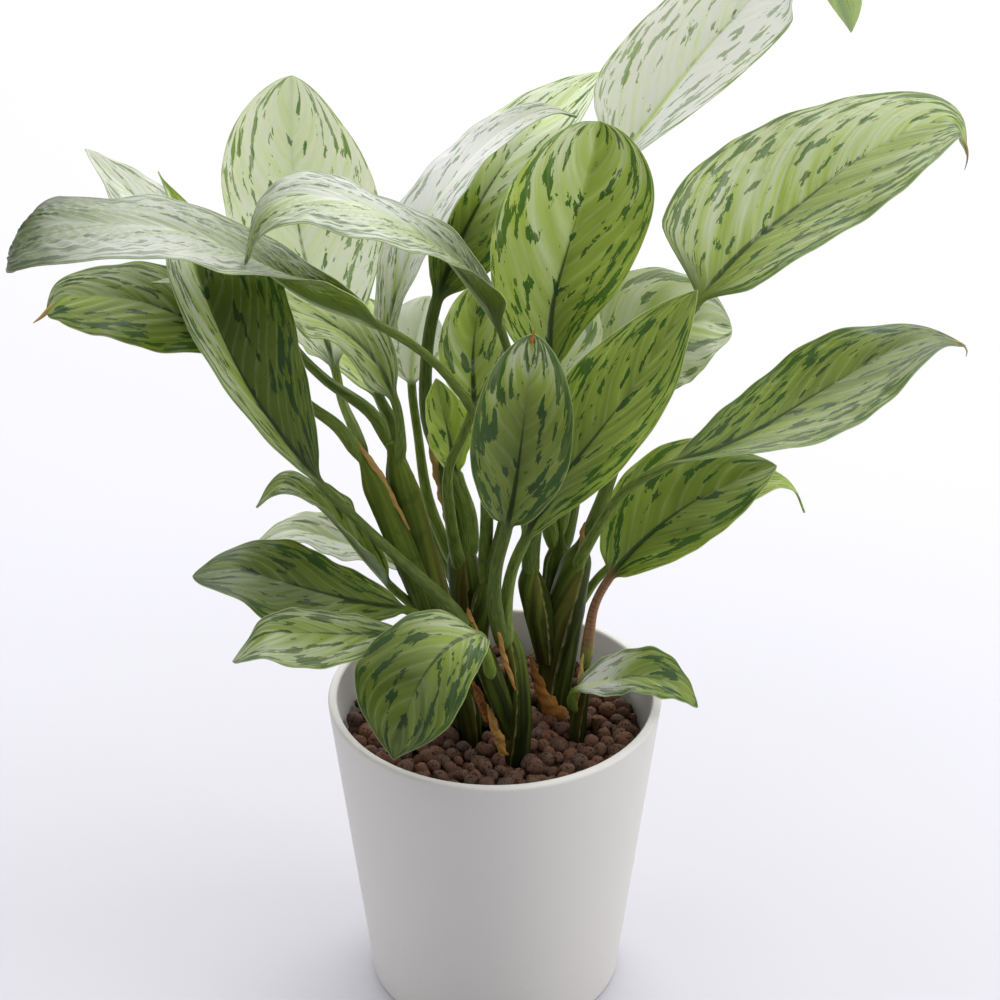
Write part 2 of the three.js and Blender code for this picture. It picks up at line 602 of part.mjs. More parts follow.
// Pebbles on a loose triangular grid, each nudged, sized and turned by the seeded draw.
function pebbleSolids(radiusOfBed) {
  const random = randomFrom(PEBBLE_SEED);
  const solids = [];
  const rowHeight = PEBBLE_PITCH * Math.sin(Math.PI / 3);
  const rows = Math.ceil(radiusOfBed / rowHeight);
  for (let row = -rows; row <= rows; row += 1) {
    for (let column = -rows - 1; column <= rows + 1; column += 1) {
      const nudge = () => (random() - 0.5) * PEBBLE_NUDGE * PEBBLE_PITCH;
      const x = (column + (row % 2 ? 0.5 : 0)) * PEBBLE_PITCH + nudge();
      const y = row * rowHeight + nudge();
      const radius = THREE.MathUtils.lerp(PEBBLE_RADIUS_LEAST, PEBBLE_RADIUS_MOST, random());
      const turn = new THREE.Euler(random() * Math.PI, random() * Math.PI, random() * Math.PI);
      const drop = random() * PEBBLE_SINK;
      if (Math.hypot(x, y) + radius > radiusOfBed) continue;
      const geometry = new THREE.IcosahedronGeometry(radius, 0);
      geometry.applyMatrix4(new THREE.Matrix4().makeRotationFromEuler(turn));
      geometry.translate(x, y, PEBBLE_LEVEL - drop);
      solids.push(toSolid(geometry));
    }
  }
  return solids;
}

// The filling: one bed from the pot's floor to the pebble level, pebbles on top, and a plain hole for each
// shoot.
function makePebbles() {
  const slope = (POT_TOP_RADIUS - POT_BASE_RADIUS) / POT_HEIGHT;
  const inner = (z) => POT_BASE_RADIUS + slope * z - POT_WALL - FILLING_GAP;
  const floor = POT_FLOOR + FILLING_GAP;
  const profile = [
    [0, floor],
    [inner(floor) - FILLING_FOOT, floor],
    [inner(floor + FILLING_FOOT), floor + FILLING_FOOT],
    [inner(PEBBLE_LEVEL), PEBBLE_LEVEL],
    [0, PEBBLE_LEVEL],
  ].map(([r, z]) => new THREE.Vector2(r, z));
  const bed = toSolid(latheUpright(profile, POT_SIDES));
  let solid = wasm.Manifold.union([bed, ...pebbleSolids(inner(PEBBLE_LEVEL))]);
  for (const limbs of Object.values(SHOOTS)) {
    for (const limb of limbs) solid = solid.subtract(toSolid(limbGeometry(limb, SEAT_GAP, SEAT_GAP)));
  }
  return toGeometry(solid);
}

// One shoot: its limbs joined, with a plain hole for the foot of each leaf that grows from it.
function makeShoot(name) {
  let solid = wasm.Manifold.union(SHOOTS[name].map((limb) => toSolid(limbGeometry(limb))));
  for (const leaf of Object.values(LEAVES)) {
    if (leaf.shoot === name) solid = solid.subtract(toSolid(leafGeometry(leaf, SEAT_GAP, true)));
  }
  return toGeometry(solid);
}

function addPiece(group, name, geometry, colour, roughness) {
  const material = new THREE.MeshStandardMaterial({ color: colour, roughness, metalness: 0 });
  const mesh = new THREE.Mesh(geometry, material);
  mesh.name = name;
  group.add(mesh);
}

const plant = new THREE.Group();
addPiece(plant, "pot", makePot(), COLOURS.pot, 0.55);
addPiece(plant, "clay_pebbles", makePebbles(), COLOURS.pebbles, 0.95);
for (const name of Object.keys(SHOOTS)) {
  addPiece(plant, "shoot_" + name, makeShoot(name), COLOURS.shoot, 0.5);
}
for (const [name, leaf] of Object.entries(LEAVES)) {
  addPiece(plant, "leaf_" + name, leafGeometry(leaf), COLOURS.leaf, 0.45);
}

export default plant;
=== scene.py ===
"""A chinese evergreen in a round tapered planter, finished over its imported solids.

Run as a script. It builds the pot, the clay pebbles, the shoots with their dried sheaths and the thirty
leaves, and then the floor, light and camera. Tables are in millimetres, meshes in metres.
"""

import math

import bpy
import numpy as np
from bpy.props import FloatProperty, FloatVectorProperty, IntProperty, PointerProperty
from mathutils import Color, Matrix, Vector


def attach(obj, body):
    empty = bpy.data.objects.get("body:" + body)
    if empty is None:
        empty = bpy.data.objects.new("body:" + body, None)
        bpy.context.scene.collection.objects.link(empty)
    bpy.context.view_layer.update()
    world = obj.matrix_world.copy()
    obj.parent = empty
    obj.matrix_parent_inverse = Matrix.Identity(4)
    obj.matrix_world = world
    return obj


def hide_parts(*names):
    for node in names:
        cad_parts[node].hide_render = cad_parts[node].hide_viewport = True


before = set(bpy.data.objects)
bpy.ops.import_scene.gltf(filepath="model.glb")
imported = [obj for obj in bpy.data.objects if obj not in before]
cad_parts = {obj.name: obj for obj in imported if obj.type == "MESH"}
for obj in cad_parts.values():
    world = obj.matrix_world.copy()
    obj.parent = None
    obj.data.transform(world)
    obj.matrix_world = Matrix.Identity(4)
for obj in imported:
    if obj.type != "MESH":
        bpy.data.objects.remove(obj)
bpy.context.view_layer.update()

bl_info = {
    "name": "Potted chinese evergreen",
    "version": (1, 0, 0),
    "blender": (4, 5, 0),
    "location": "View3D > Sidebar > Evergreen",
    "description": "Builds a chinese evergreen in a planter with clay pebbles",
    "category": "Add Mesh",
}

MM = 0.001
MARKINGS = "drawn_out_markings"
SHARP_ANGLE = math.radians(50)

# Millimetres of surface in one unit of a vein map, and the radius at which a turned profile starts and ends.
VEIN_UNIT = 10
AXIS = 0.01

# How far each layer of pebbles lies below the one above, as a share of their spacing.
PEBBLE_SINK = 0.62

# A shoot's colour runs upwards from this height, over this many millimetres, from a foot darkened as painted
# shade among the stems to a paler crown.
SHEATH_FOOT, SHEATH_RISE = 150, 190
TIP_ROWS, TIP_COLUMNS, TIP_DRYNESS = 16, 8, 0.9

# The picture's frame: the camera looks along +Y and down, from this far, at this point.
CAMERA_ELEVATION = math.radians(29.76)
CAMERA_DISTANCE = 1.6
CAMERA_TARGET = (0.0028, 0.0, 0.2984)
CAMERA_LENS = 110.85
CAMERA_SENSOR = 36.0

# A shoot is a few tapered limbs grown together: each point is x, y, z and the limb's radius there.
SHOOTS = {
    "front": [
        [
            (11, -24, 113, 6.5), (12, -24, 157, 7), (13, -25, 181, 6.5),
            (12, -26, 204, 6), (9, -28, 225, 6), (3, -30, 246, 5.2),
        ],
        [
            (10, -25, 168, 5), (3, -30, 194, 5.5), (-3, -34, 215, 5.8),
            (-9, -36, 234, 5.4), (-13, -38, 247, 4.4),
        ],
    ],
    "left": [
        [
            (-14, 2, 114, 7), (-15, 2, 158, 8), (-20, 3, 185, 9), (-25, 2, 211, 8.5),
            (-33, 0, 250, 7.5), (-42, -2, 288, 7), (-49, -3, 315, 7), (-54, -3, 334, 6),
        ],
        [
            (-25, 1, 205, 7), (-38, -5, 244, 7), (-51, -9, 283, 6.5),
            (-62, -11, 315, 6.4), (-69, -11, 332, 5.4),
        ],
    ],
    "middle": [
        [
            (-7, 27, 111, 6.5), (-9, 27, 145, 7.5), (-11, 26, 172, 8.5),
            (-13, 24, 198, 9), (-16, 21, 238, 9), (-20, 20, 270, 7),
        ],
        [(-12, 24, 175, 6), (-9, 15, 210, 5.5), (-6, 7, 236, 5.4), (-5, 3, 252, 5)],
    ],
    "right": [
        [
            (32, 20, 111, 8), (32, 20, 158, 8.5), (34, 20, 187, 10),
            (38, 17, 221, 10.5), (43, 12, 252, 8.4), (47, 6, 274, 5.6),
        ],
        [(33, 22, 192, 7), (33, 28, 221, 7.4), (34, 32, 244, 7), (35, 34, 262, 6)],
        [(30, 17, 192, 8), (24, 13, 222, 8.6), (19, 10, 244, 7.2), (19, 9, 262, 5.4)],
    ],
    "side": [[(47, -3, 113, 4), (45, -3, 160, 4.6), (47, -2, 182, 4.6), (49, 0, 197, 4)]],
}

# A leaf's finer form. An edge wave is its height, how many fit in a blade, and the power at which it grows
# towards the edge. Veins run forward, and bend forward, by these shares of the blade's length. The midrib's
# groove above and its ridge below, and the length over which a petiole's foot swells, are in millimetres.
# FOOT_PULL is how far that foot is moved towards the middle of its limb, and BLADE_START the share of the
# blade over which it takes over from the petiole.
EDGE_WAVES = ((1.5, 2.3, 2), (0.7, 6.5, 4))
VEIN_FORWARD, VEIN_BEND = 0.3, 0.28
GROOVE_DEPTH, GROOVE_WIDTH = 0.55, 1.3
RIDGE_HEIGHT, RIDGE_LEAST, RIDGE_WIDTH = 1.2, 0.35, 1.5
CROWN = 0.025
PETIOLE_HALF_TURN = math.radians(84)
PETIOLE_SWELL = 16
FOOT_PULL = 0.75
BLADE_START = 0.1

# A leaf's values where its row doesn't give them. fold is how far each half rises from flat at the base, the
# middle and the tip, in degrees. widest is how far up the blade its left and right edges stand furthest out,
# halves the share of the width on each side, and blunt how soon base and tip fill out: below 1 is round, 1 is
# pointed. lean is how much more tone and silver the left half has: painted light on the half that the
# light falls on. The painted shade value darkens the leaf as painted shade where it lies in shade, and
# below 0 lightens it as painted light. ridges is the height, in millimetres, that the lateral veins rise
# to, flush is 1 for a pinkish, ringed petiole, and stout how many times the usual width a petiole has.
PLAIN_LEAF = dict(
    fold=(30, 16, 8), widest=(0.5, 0.5), halves=(1, 1), blunt=(0.8, 0.75), lean=(0, 0), painted_shade=0, ridges=0.3,
    flush=0, stout=1,
)

# The leaves. petiole runs from the foot in the shoot to just below the blade, rib from the blade's base to
# its tip, and facing is the way the upper side looks at the base, the middle and the tip. tone runs from 0,
# deep green, to 1, pale green, silver is the share of silvery ground, partly the leaf's own silver and partly
# painted sheen, and edge is how broad the dark margin is. Where tone, silver or the painted shade has two or
# three levels, they are for the base, the middle and the tip, and they partly paint the light and shade
# that fall on each part.
LEAVES = {
    "far_left": dict(
        petiole=[(-9, 6, 241), (-4, -9, 298), (-8, -24, 356), (-27, -33, 393)],
        rib=[
            (-50, -40, 416), (-89, -48, 438), (-121, -55, 465), (-153, -62, 481),
            (-188, -66, 486), (-213, -66, 486), (-227, -62, 476), (-226, -58, 461),
        ],
        facing=[(0, 0, 1), (0, 0.02, 1), (-0.8, 0, 0.6)],
        width=80, fold=(72, 3, -8), widest=(0.68, 0.72), halves=(1.1, 0.95), blunt=(0.95, 0.6),
        tone=(0, 0.2, 0), silver_and_sheen=(0.1, 0.8, 0.4), lean=(0.05, 0.12), edge=0.7, painted_shade=(0.2, 0.4, 1.4),
        ridges=0.7,
    ),
    "left_behind": dict(
        petiole=[(-54, -2, 325), (-62, 4, 346), (-87, 12, 363), (-102, 20, 376)],
        rib=[(-112, 28, 391), (-140, 42, 413), (-168, 52, 433), (-191, 58, 451), (-208, 60, 470)],
        facing=[(0.2, 0, 0.9), (0.1, 0, 1), (-0.2, 0, 1)],
        width=62, widest=(0.62, 0.62), halves=(1, 0.6), blunt=(1.2, 0.75), tone=0.5, silver_and_sheen=0.85, edge=0.2,
        painted_shade=0.2,
    ),
    "hanging": dict(
        petiole=[(-13, -36, 237), (-22, -41, 258), (-48, -48, 291), (-70, -52, 318)],
        rib=[
            (-84, -54, 335), (-107, -56, 370), (-123, -52, 397), (-140, -36, 430),
            (-152, -12, 452), (-159, 2, 468), (-165, 4, 482),
        ],
        facing=[(0.5, -0.6, 0.6), (0.5, -0.6, 0.6), (0.3, -0.6, 0.7)],
        width=68, fold=(30, 28, 12), widest=(0.58, 0.58), halves=(0.68, 1.1), blunt=(1, 1.7),
        tone=(0.1, 0.25, 0.8), silver_and_sheen=0.1, lean=(0.75, 0.6), edge=0.5, painted_shade=(0.9, 0.5, 0),
    ),
    "left_low_tip": dict(
        petiole=[(-67, -13, 324), (-79, -13, 348), (-92, -14, 360), (-105, -18, 375)],
        rib=[
            (-116, -20, 389), (-134, -22, 405), (-155, -22, 416), (-175, -20, 423),
            (-197, -16, 424), (-214, -14, 422), (-223, -12, 413),
        ],
        facing=[(0.1, -0.4, 0.8), (0, -0.5, 0.9), (-0.4, -0.4, 0.8)],
        width=64, fold=(30, 12, 5), widest=(0.56, 0.5), halves=(0.92, 0.66), blunt=(0.8, 0.58), tone=0.18,
        silver_and_sheen=0.28, lean=(0, -0.4), edge=0.7, painted_shade=0.1, ridges=0.45,
    ),
    "upright_left": dict(
        petiole=[(-65, -8, 321), (-72, 12, 332), (-80, 34, 340)],
        rib=[(-83, 44, 350), (-92, 54, 382), (-101, 66, 420), (-104, 74, 463), (-103, 77, 503)],
        facing=[(-0.2, -0.8, 0.6), (-0.1, -0.8, 0.6), (-0.1, -0.6, 0.8)],
        width=86, fold=(30, 12, 8), widest=(0.64, 0.52), halves=(0.87, 1.08), blunt=(0.8, 0.62), tone=1,
        silver_and_sheen=0.6, edge=0.45,
    ),
    "left_inner": dict(
        petiole=[(-50, -7, 318), (-48, -8, 338)],
        rib=[
            (-50, -8, 359), (-60, -3, 380), (-77, 1, 396), (-99, 0, 407),
            (-124, -7, 421), (-147, -16, 432), (-168, -26, 436),
        ],
        facing=[(-0.3, -0.3, 0.9), (0, -0.1, 0.9), (-0.1, 0, 0.9)],
        width=54, fold=(45, 16, 8), widest=(0.42, 0.42), halves=(1.2, 0.72), blunt=(0.8, 1.1), tone=0.38,
        silver_and_sheen=0.45, edge=0.5, painted_shade=0.12,
    ),
    "curling": dict(
        petiole=[(-3, 4, 243), (6, -16, 300), (9, -25, 350), (8, -28, 390)],
        rib=[
            (4, -30, 411), (-10, -36, 437), (-26, -44, 462), (-45, -54, 481),
            (-68, -64, 496), (-91, -70, 502), (-108, -74, 495), (-118, -74, 468),
        ],
        facing=[(0.7, 0.1, 0.7), (0.1, -0.2, 1), (-0.8, -0.1, 0.4)],
        width=54, fold=(60, 0, 0), widest=(0.7, 0.66), halves=(1.05, 0.8), blunt=(0.55, 0.75),
        tone=(0, 0.35, 0.2), silver_and_sheen=(0.3, 0.85, 0.5), lean=(0, -0.2), edge=0.7, painted_shade=(0.7, 0.05, 0.4),
        ridges=0.6,
    ),
    "silver_arch": dict(
        petiole=[(-46, 2, 311), (-52, 10, 337), (-60, 17, 353)],
        rib=[
            (-58, 20, 369), (-49, 28, 406), (-37, 36, 437), (-19, 44, 463),
            (3, 52, 482), (26, 60, 491), (42, 64, 486),
        ],
        facing=[(-0.5, -0.4, 0.7), (-0.5, -0.2, 0.8), (-0.1, 0.1, 1)],
        width=54, fold=(30, 12, 8), halves=(0.8, 1), tone=(0.5, 0.95, 0.5), silver_and_sheen=(0.6, 1.1, 0.7),
        edge=0.3, painted_shade=(0.6, 0.05, 1), ridges=0.5,
    ),
    "shaded_arch": dict(
        petiole=[(-23, 21, 257), (-27, 30, 303), (-35, 36, 326), (-36, 44, 352)],
        rib=[(-31, 54, 384), (-13, 66, 426), (11, 78, 462), (34, 88, 482), (55, 94, 498)],
        facing=[(0.3, -0.7, 0.6), (-0.1, -0.4, 0.8), (0.1, -0.2, 0.9)],
        width=70, halves=(0.72, 1), tone=(0, 0.9), silver_and_sheen=(0, 0.5), edge=0.2, painted_shade=(1, 0), stout=1.35,
    ),
    "top": dict(
        petiole=[(36, 34, 253), (44, 46, 321), (51, 54, 382), (55, 60, 425)],
        rib=[
            (60, 62, 457), (75, 62, 479), (99, 58, 516), (118, 52, 543),
            (135, 47, 564), (150, 44, 572), (165, 46, 562), (177, 50, 537),
        ],
        facing=[(-0.2, -0.5, 0.7), (-0.2, -0.85, 0.3), (0.5, 0.7, 0.5)],
        width=88, fold=(26, 10, 6), widest=(0.2, 0.7), halves=(0.8, 0.57), blunt=(0.6, 0.85), tone=1,
        silver_and_sheen=(1.1, 1), lean=(0, -0.3), painted_shade=-0.15, edge=0.45,
    ),
    "front_small": dict(
        petiole=[(7, -28, 216), (3, -32, 238), (0, -40, 261), (1, -48, 286)],
        rib=[(6, -54, 312), (10, -58, 337), (14, -60, 372), (17, -58, 402), (19, -54, 422)],
        facing=[(0, -0.9, 0.4), (0, -0.9, 0.5), (0, -0.7, 0.6)],
        width=56, fold=(35, 28, 12), widest=(0.52, 0.52), blunt=(0.8, 0.6), tone=(0.3, 0.3, 0.6),
        silver_and_sheen=(-0.1, 0.1, 0.5), edge=1.3, painted_shade=(1, 1, 0.4), stout=1.3,
    ),
    "centre": dict(
        petiole=[(19, 10, 236), (19, 9, 258), (22, 6, 289), (27, 4, 320), (29, 1, 350)],
        rib=[(28, 0, 370), (29, -1, 409), (37, 2, 443), (46, 10, 475), (52, 20, 502)],
        facing=[(0, -0.9, 0.5), (0, -0.8, 0.5), (0, -0.6, 0.7)],
        width=78, fold=(22, 12, 8), widest=(0.55, 0.72), halves=(1, 0.93), blunt=(0.95, 0.5),
        tone=(0.34, 0.46, 0.5), silver_and_sheen=(-0.05, 0.1, 0.3), lean=(0.34, 0.16), edge=0.5, painted_shade=(0.5, 0.15),
        stout=1.35,
    ),
    "slanting": dict(
        petiole=[(9, -27, 212), (6, -30, 234), (6, -34, 257), (9, -37, 278)],
        rib=[
            (14, -40, 294), (30, -44, 330), (51, -44, 361), (71, -38, 388),
            (86, -30, 411), (100, -22, 430),
        ],
        facing=[(-0.3, -0.8, 0.5), (-0.2, -0.8, 0.6), (-0.2, -0.7, 0.6)],
        width=60, fold=(35, 20, 10), widest=(0.54, 0.5), halves=(1, 0.82), blunt=(1, 0.85), tone=0.2,
        silver_and_sheen=-0.05, edge=0.4, painted_shade=(0.3, 0.1), stout=1.25,
    ),
    "right_upper": dict(
        petiole=[(48, 8, 264), (57, 0, 302), (68, -4, 342), (85, 0, 380)],
        rib=[
            (102, 6, 409), (125, 22, 430), (155, 42, 447), (187, 62, 464),
            (219, 80, 474), (237, 88, 473), (246, 90, 454),
        ],
        facing=[(-0.3, -0.6, 0.7), (-0.3, -0.5, 0.8), (0.3, -0.2, 0.8)],
        width=88, fold=(25, 12, 6), widest=(0.3, 0.5), halves=(1.14, 0.84), blunt=(0.32, 0.95), tone=0.3,
        silver_and_sheen=(0.32, 0.42), lean=(0.24, 0.2), edge=0.8, painted_shade=0.14,
    ),
    "right_lower": dict(
        petiole=[(41, 13, 236), (45, 4, 260), (53, -9, 286), (65, -18, 312)],
        rib=[
            (86, -22, 330), (111, -16, 336), (138, -2, 343), (170, 16, 355),
            (202, 30, 368), (226, 38, 373), (245, 42, 367),
        ],
        facing=[(-0.2, -0.2, 0.9), (-0.1, -0.3, 0.9), (0.1, 0.1, 1)],
        width=70, fold=(35, 14, 6), widest=(0.58, 0.48), halves=(0.78, 1.12), tone=0.12,
        silver_and_sheen=(-0.05, 0.16, 0.05), lean=(0, -0.36), edge=0.9, ridges=0.4, painted_shade=(0.1, 0.2, 1),
    ),
    "low_right": dict(
        petiole=[(48.5, -0.6, 188), (50, 2, 211), (53, 4, 231)],
        rib=[(60, 6, 246), (79, 8, 270), (100, 14, 286), (124, 22, 296), (149, 32, 301)],
        facing=[(-0.3, -0.8, 0.6), (-0.3, -0.7, 0.6), (-0.2, -0.4, 0.8)],
        width=70, fold=(28, 12, 8), halves=(1, 0.72), tone=0.15, silver_and_sheen=0, edge=0.2, flush=1,
    ),
    "low_right_behind": dict(
        petiole=[(38, 21, 208), (48, 32, 219)],
        rib=[
            (58, 36, 232), (84, 42, 250), (114, 49, 266), (138, 54, 276),
            (153, 59, 277), (163, 63, 268), (169, 64, 254),
        ],
        facing=[(-0.2, -0.5, 0.7), (0, -0.3, 0.9), (0.6, -0.1, 0.6)],
        width=34, widest=(0.4, 0.4), blunt=(0.8, 1.7), tone=0.4, silver_and_sheen=0.1, edge=0.1,
    ),
    "pale_behind": dict(
        petiole=[(38, 31, 240), (42, 46, 270), (46, 60, 297)],
        rib=[(56, 66, 317), (69, 72, 338), (86, 78, 354), (109, 84, 360), (127, 88, 354)],
        facing=[(-0.3, -0.6, 0.7), (-0.1, -0.6, 0.8), (0.2, -0.3, 0.9)],
        width=76, widest=(0.52, 0.52), blunt=(0.8, 0.6), tone=0.5, silver_and_sheen=0.55, edge=0.3, painted_shade=0.6,
        stout=1.2,
    ),
    "pale_strip": dict(
        petiole=[(31, 31, 243), (27, 36, 280), (28, 38, 312)],
        rib=[(29, 38, 338), (32, 36, 371), (35, 37, 396), (42, 40, 416)],
        facing=[(0.3, -0.7, 0.5), (0.3, -0.7, 0.5), (0.3, -0.5, 0.7)],
        width=46, tone=0.65, silver_and_sheen=0.6, edge=0.2, stout=1.3,
    ),
    "upright_pale": dict(
        petiole=[(-17, 20, 232), (-20, 14, 255), (-23, 8, 281), (-24, 2, 315), (-16, -2, 338)],
        rib=[(-11, -4, 355), (-11, -4, 382), (-9, 0, 404), (-5, 6, 423)],
        facing=[(0.1, -0.9, 0.5), (0.1, -0.8, 0.6), (0.1, -0.6, 0.7)],
        width=40, fold=(35, 25, 15), halves=(1, 0.8), tone=0.4, silver_and_sheen=0.3, edge=0.3,
    ),
    "bright_inner": dict(
        petiole=[(-15, 22, 242), (-15, 24, 275)],
        rib=[(-21, 22, 300), (-24, 20, 326), (-28, 18, 346), (-30, 18, 360)],
        facing=[(0.4, -0.8, 0.4), (0.3, -0.8, 0.4), (0.2, -0.7, 0.6)],
        width=26, tone=0.35, silver_and_sheen=0.0, edge=-1, stout=2,
    ),
    "far_grey": dict(
        petiole=[(-21, 24, 233), (-35, 42, 272), (-41, 54, 308)],
        rib=[(-44, 60, 334), (-43, 66, 352), (-39, 70, 367), (-34, 72, 381)],
        facing=[(0, -0.6, 0.8), (0, -0.4, 0.8), (0, -0.3, 0.9)],
        width=36, tone=1, silver_and_sheen=1.3, edge=0.2,
    ),
    "low_curled": dict(
        petiole=[(-29, -1, 222), (-43, -5, 237)],
        rib=[
            (-54, -6, 249), (-67, -9, 268), (-80, -12, 289), (-94, -12, 305),
            (-109, -12, 314), (-123, -12, 301),
        ],
        facing=[(0.2, -0.2, 0.9), (0.2, 0, 0.9), (-0.5, 0, 0.8)],
        width=34, fold=(50, 25, 5), tone=0.2, silver_and_sheen=0.25, edge=0.6, painted_shade=0.3, ridges=0.4,
    ),
    "low_pale": dict(
        petiole=[(-27, 7, 220), (-36, 15, 231)],
        rib=[(-45, 19, 241), (-64, 18, 254), (-86, 16, 265), (-107, 14, 272), (-126, 12, 265)],
        facing=[(0.1, -0.1, 1), (0, -0.1, 1), (-0.4, -0.1, 0.9)],
        width=42, halves=(1.1, 0.75), tone=0.5, silver_and_sheen=0.75, edge=0.2,
    ),
    "low_dark": dict(
        petiole=[(-22, -3, 206), (-33, -11, 228)],
        rib=[
            (-44, -16, 240), (-65, -20, 247), (-88, -24, 256), (-112, -27, 266),
            (-134, -28, 273), (-156, -28, 269),
        ],
        facing=[(0.1, -0.3, 0.9), (0, -0.4, 0.9), (-0.2, 0, 0.9)],
        width=60, fold=(30, 12, 4), widest=(0.58, 0.62), halves=(1.15, 0.78), blunt=(0.8, 0.65),
        tone=(0.15, 0), silver_and_sheen=(0, -0.4), edge=0.6, painted_shade=(0.2, 0.8),
    ),
    "low_front_left": dict(
        petiole=[(-8, -38, 222), (-21, -45, 238)],
        rib=[
            (-34, -50, 248), (-55, -58, 253), (-76, -65, 257), (-98, -70, 261),
            (-117, -72, 260), (-133, -72, 245),
        ],
        facing=[(0.1, -0.3, 1), (0, -0.3, 0.9), (-0.5, 0, 0.8)],
        width=48, fold=(30, 12, 4), widest=(0.6, 0.6), halves=(1.2, 0.62), blunt=(1.6, 0.75), tone=0.25,
        silver_and_sheen=0.45, edge=0.8, painted_shade=0.1,
    ),
    "rim_drooping": dict(
        petiole=[(-2, -35, 208), (-3, -46, 226), (-5, -55, 242)],
        rib=[(-7, -60, 253), (-21, -79, 260), (-35, -95, 252), (-45, -103, 232), (-51, -106, 208)],
        facing=[(-0.1, -0.4, 0.9), (-0.3, -0.6, 0.7), (-0.3, -0.9, 0.3)],
        width=60, fold=(20, 10, 6), widest=(0.55, 0.58), halves=(0.93, 1.1), blunt=(0.7, 1.05),
        tone=(0.44, 0.06), silver_and_sheen=(0.48, 0), edge=0.9, painted_shade=(0.1, 0.8),
    ),
    "rim_right": dict(
        petiole=[(45, -4, 167), (41, -11, 181)],
        rib=[(43, -14, 189), (59, -16, 196), (77, -18, 201), (96, -20, 196), (108, -22, 184)],
        facing=[(0, -0.3, 0.9), (0.1, -0.3, 0.9), (0.5, -0.2, 0.8)],
        width=44, fold=(20, 14, 6), halves=(0.8, 0.7), blunt=(0.7, 0.75), tone=(0.6, 0.1),
        silver_and_sheen=(1.4, 0.1), edge=0.7,
    ),
    "back_high": dict(
        petiole=[(34, 35, 231), (34, 60, 276), (32, 76, 302)],
        rib=[(31, 86, 318), (33, 108, 349), (39, 125, 376), (46, 135, 398)],
        facing=[(0, 0, 1), (0, 0.1, 1), (0, 0.2, 0.9)],
        width=60, tone=0.4, silver_and_sheen=0.3, edge=0.4,
    ),
    "back_left": dict(
        petiole=[(-17, 27, 216), (-36, 44, 262), (-52, 58, 296)],
        rib=[(-62, 72, 319), (-77, 96, 337), (-90, 115, 351), (-100, 128, 362)],
        facing=[(0, 0.1, 0.9), (0, 0.1, 1), (0, 0.2, 0.9)],
        width=66, tone=0.35, silver_and_sheen=0.3, edge=0.4,
    ),
}

# Papery scraps of dried sheath. Each point is x, y, z and half the scrap's width there; facing is the way
# its outer side looks, curl the angle that it bends round the stem, in degrees, and dryness its shade,
# from 0, dark brown, to 1, pale straw.
SCRAPS = {
    "right_foot": dict(
        points=[
            (19, 12, 194, 0.6), (22, 11, 183, 2.6), (26, 9, 170, 4.6), (32, 7, 161, 6.4), (39, 9, 156, 4),
        ],
        facing=(-0.4, -0.8, 0.4), curl=110, dryness=0.4,
    ),
    "front_foot": dict(
        points=[(-4, -28, 190, 0.5), (-2, -31, 181, 3), (1, -33, 171, 4), (4, -34, 161, 3.6)],
        facing=(-0.6, -0.8, 0.1), curl=120, dryness=0.6,
    ),
    "behind_foot": dict(
        points=[(-12, -17, 197, 0.6), (-9, -20, 190, 3.2), (-6, -23, 183, 3.6), (-4, -24, 176, 2)],
        facing=(-0.3, -0.9, 0.4), curl=150, dryness=0.25,
    ),
    "crossing": dict(
        points=[(-14, -35, 254, 0.4), (-12, -38, 247, 2.4), (-9, -39, 241, 1)],
        facing=(-0.1, -0.8, 0.6), curl=80, dryness=0.55,
    ),
    "front_margin": dict(
        points=[
            (0, -37, 250, 0.4), (3, -37, 236, 1.1), (5, -36, 224, 1.5), (8, -34, 213, 1.3),
            (11, -33, 202, 0.4),
        ],
        facing=(0, -1, 0.1), curl=60, dryness=0.6,
    ),
    "left_margin": dict(
        points=[
            (-72, -11, 342, 0.4), (-66, -13, 333, 1.3), (-60, -14, 324, 1.7), (-55, -14, 313, 1.5),
            (-50, -14, 302, 1.1), (-44, -13, 288, 0.4),
        ],
        facing=(0.2, -1, 0.2), curl=70, dryness=0.8,
    ),
    "middle_sheath": dict(
        points=[(-35, 27, 322, 0.5), (-31, 26, 305, 2.6), (-27, 25, 287, 3.2), (-24, 22, 266, 1.2)],
        facing=(0.2, -0.9, 0.3), curl=110, dryness=0.9,
    ),
    "side_margin": dict(
        points=[(47, -8, 209, 0.3), (46, -9, 199, 1.2), (45, -9, 187, 1.1), (44, -8, 175, 0.3)],
        facing=(-0.1, -1, 0.1), curl=60, dryness=0.95,
    ),
    "right_tip": dict(
        points=[(47, 2, 284, 0.3), (46, 3, 277, 1.4), (46, 4, 268, 2), (45, 5, 256, 0.6)],
        facing=(-0.1, -1, 0.2), curl=80, dryness=0.85,
    ),
    "front_leaf_tip": dict(
        points=[(17.5, -57, 418, 0.5), (18, -57, 420, 1.1), (19, -56, 423, 0.6), (20, -55, 425, 0.2)],
        facing=(0, -0.8, 0.6), curl=100, dryness=0.3,
    ),
}

# Dried points that end some blades: each point is x, y, z and the radius there.
TIPS = {
    "left_low_tip": [
        (-216, -13, 420, 1.2), (-222, -12, 414, 1.4), (-226, -12, 410, 0.9), (-230, -12, 407, 0.25),
    ],
    "right_upper": [(241, 88, 466, 0.8), (245, 89, 458, 0.8), (246, 90, 451, 0.5), (245, 90, 445, 0.2)],
    "right_lower": [(238, 41, 370, 0.7), (243, 42, 368, 0.7), (246, 42, 364, 0.4), (246, 43, 360, 0.2)],
}


# Lines and surfaces


